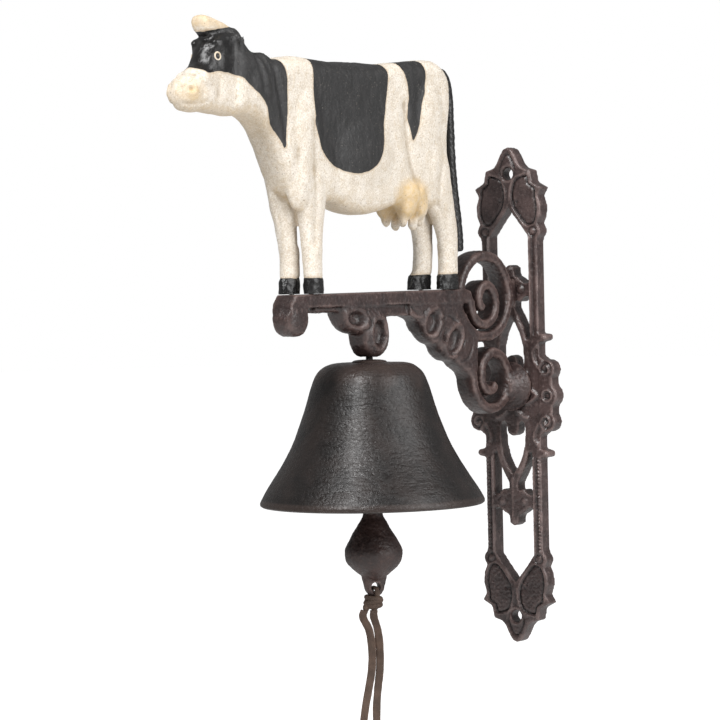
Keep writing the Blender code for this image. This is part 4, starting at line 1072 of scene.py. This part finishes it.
def make_clapper():
    dark = cast_iron("dark_steel", (0.030, 0.027, 0.025), (0.045, 0.040, 0.036), (0.16, 0.15, 0.14),
                     (0.010, 0.008, 0.007), 0.36, 0.06, 0.0)
    eye_z = 4.0
    bolt_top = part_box("eye_bolt")[1].z / MM
    thread = [(0, bolt_top), (1.5, bolt_top)]
    turns = 34
    start = eye_z + 3.7
    for i in range(turns):
        z = bolt_top - 0.2 - (bolt_top - 0.4 - start) * i / turns
        thread += [(1.95, z), (1.68, z - 0.35)]
    thread += [(1.9, start), (0, start)]
    shank = turned(thread, 32)
    shank.transform(BELL_AXIS)
    bolt = joined([ring_wire(BELL_REACH, eye_z, 4.3, 1.5), shank])
    store_edges(bolt, 3)
    show("eye_bolt_wire", bolt, dark, "bracket", ["eye_bolt"])

    low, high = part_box("clapper_link")
    wire = 1.2
    bend = (high.x - low.x) / MM / 2 - wire
    top, bottom = high.z / MM - wire - bend, low.z / MM + wire + bend
    route = []
    for centre, first in ((top, 0.0), (bottom, math.pi)):
        for i in range(19):
            angle = first + math.pi * i / 18
            route.append((bend * math.cos(angle), -BELL_REACH, centre + bend * math.sin(angle)))
    link = tube(route, wire, True)
    store_edges(link, 3)
    show("clapper_link_wire", link, dark, "link", ["clapper_link"])

    low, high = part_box("clapper_eye")
    radius = (high.y - low.y) / MM / 2 - wire
    centre = high.z / MM - wire - radius
    top, foot = centre - radius + 0.4, low.z / MM
    stem = turned([(0, top), (1.25, top), (1.25, foot), (0, foot)], 32)
    stem.transform(BELL_AXIS)
    eye = joined([ring_wire(BELL_REACH, centre, radius, wire), stem])
    store_edges(eye, 3)
    show("clapper_eye_wire", eye, dark, "clapper", ["clapper_eye"])

    neck = centre - radius - wire - 0.2
    profile = [
        (1.5, neck), (3.1, neck - 0.1), (3.7, neck - 1.0), (4.1, -36), (4.4, -46), (4.7, -52.0), (5.6, -55.6),
        (7.0, -58.0), (8.8, -61.0), (11.8, -66.0), (14.2, -71.0), (14.7, -74.0), (13.8, -77.8), (11.6, -80.8),
        (8.8, -83.2), (6.0, -85.4), (3.4, -86.9), (0.01, -87.5),
    ]
    pear = turned([(0, neck - 9.4), (1.5, neck - 9.4)] + smooth_line(profile, 5) + [(0, -87.5)], 112)
    pear.transform(BELL_AXIS)
    about_hole = Matrix.Translation((0, -BELL_REACH * MM, LUG_HOLE_Z * MM)) @ LUG_TURN
    lug = [(5.0 * math.cos(angle), 5.0 * math.sin(angle)) for angle in np.radians(np.arange(200, 341, 10))]
    lug = slab([(-7.4, 8.2)] + lug + [(7.4, 8.2)], 2.5, 1.5)
    lug.transform(about_hole)
    hole = turned([(0, 8), (2.6, 8), (2.6, -8), (0, -8)], 32)
    hole.transform(about_hole @ Matrix.Rotation(math.radians(90), 4, "Y"))
    mesh = melted(joined([pear, lug]), 0.45, 5)
    mesh = cut_out(mesh, [hole])
    roughen(mesh, 0.16, 0.26)
    store_edges(mesh, 10)
    rust = cast_iron("bell_black_rough", (0.024, 0.0135, 0.012), (0.042, 0.0225, 0.019),
                     (0.105, 0.062, 0.052), (0.007, 0.005, 0.005), 0.48, 0.26, 0.04)
    show("clapper_casting", mesh, rust, "clapper", ["clapper_pear"], 60)


def finish_hardware():
    """Screws, dowels, pins, washer and nut keep their CAD meshes and get worn plated steel; the cow's foot
    screw gets the brown iron.
    """
    plated = steel("plated_steel", (0.46, 0.45, 0.42), (0.30, 0.28, 0.25), 0.34)
    for row in frame["record"]["subparts"]:
        node = frame["nodes"][row["node"]]
        if row["material_slot"] == "plated_steel":
            for slot in node.material_slots:
                slot.material = BROWN if row["node"] == "cow_foot_screw" else plated


# -------- stage and light

def area_light(name, azimuth, elevation, distance, size, power, colour=(1, 1, 1)):
    lamp = bpy.data.lights.new(name, "AREA")
    lamp.shape = "RECTANGLE"
    lamp.size, lamp.size_y = size
    lamp.energy = power
    lamp.color = colour
    turn, rise = math.radians(azimuth), math.radians(elevation)
    back = Vector((math.sin(turn) * math.cos(rise), -math.cos(turn) * math.cos(rise), math.sin(rise)))
    light = link_object(name, lamp)
    light.location = Vector((0, -0.14, 0.02)) + back * distance
    light.rotation_euler = (-back).to_track_quat("-Z", "Y").to_euler()


FLOOR_DROP = 25
FLOOR_THICK = 20
FLOOR_REACH = 9000.0


def make_stage():
    top = CAD_BOX[0].z / MM - FLOOR_DROP
    under = top - FLOOR_THICK
    rings = [(0.0, top), (2000.0, top), (FLOOR_REACH, top), (FLOOR_REACH, under), (0.0, under)]
    floor = link_object("floor", turned(rings, 96))
    floor.data.materials.append(stage_paint("stage"))
    world = bpy.data.worlds.new("studio")
    world.use_nodes = True
    sky = world.node_tree.nodes["Background"]
    sky.inputs["Color"].default_value = (1.0, 1.0, 1.0, 1.0)
    seen = world.node_tree.nodes.new("ShaderNodeLightPath").outputs["Is Camera Ray"]
    level = world.node_tree.nodes.new("ShaderNodeMapRange")
    level.inputs["To Min"].default_value = 0.26
    world.node_tree.links.new(seen, level.inputs["Value"])
    world.node_tree.links.new(level.outputs["Result"], sky.inputs["Strength"])
    bpy.context.scene.world = world
    area_light("key", 8, 42, 1.3, (0.28, 0.8), 18)
    area_light("fill", 96, 24, 1.6, (1.2, 1.4), 24)
    bpy.context.scene.view_settings.view_transform = "Standard"


make_plate()
make_arm()
make_cow()
make_bell()
make_clapper()
finish_hardware()
make_stage()
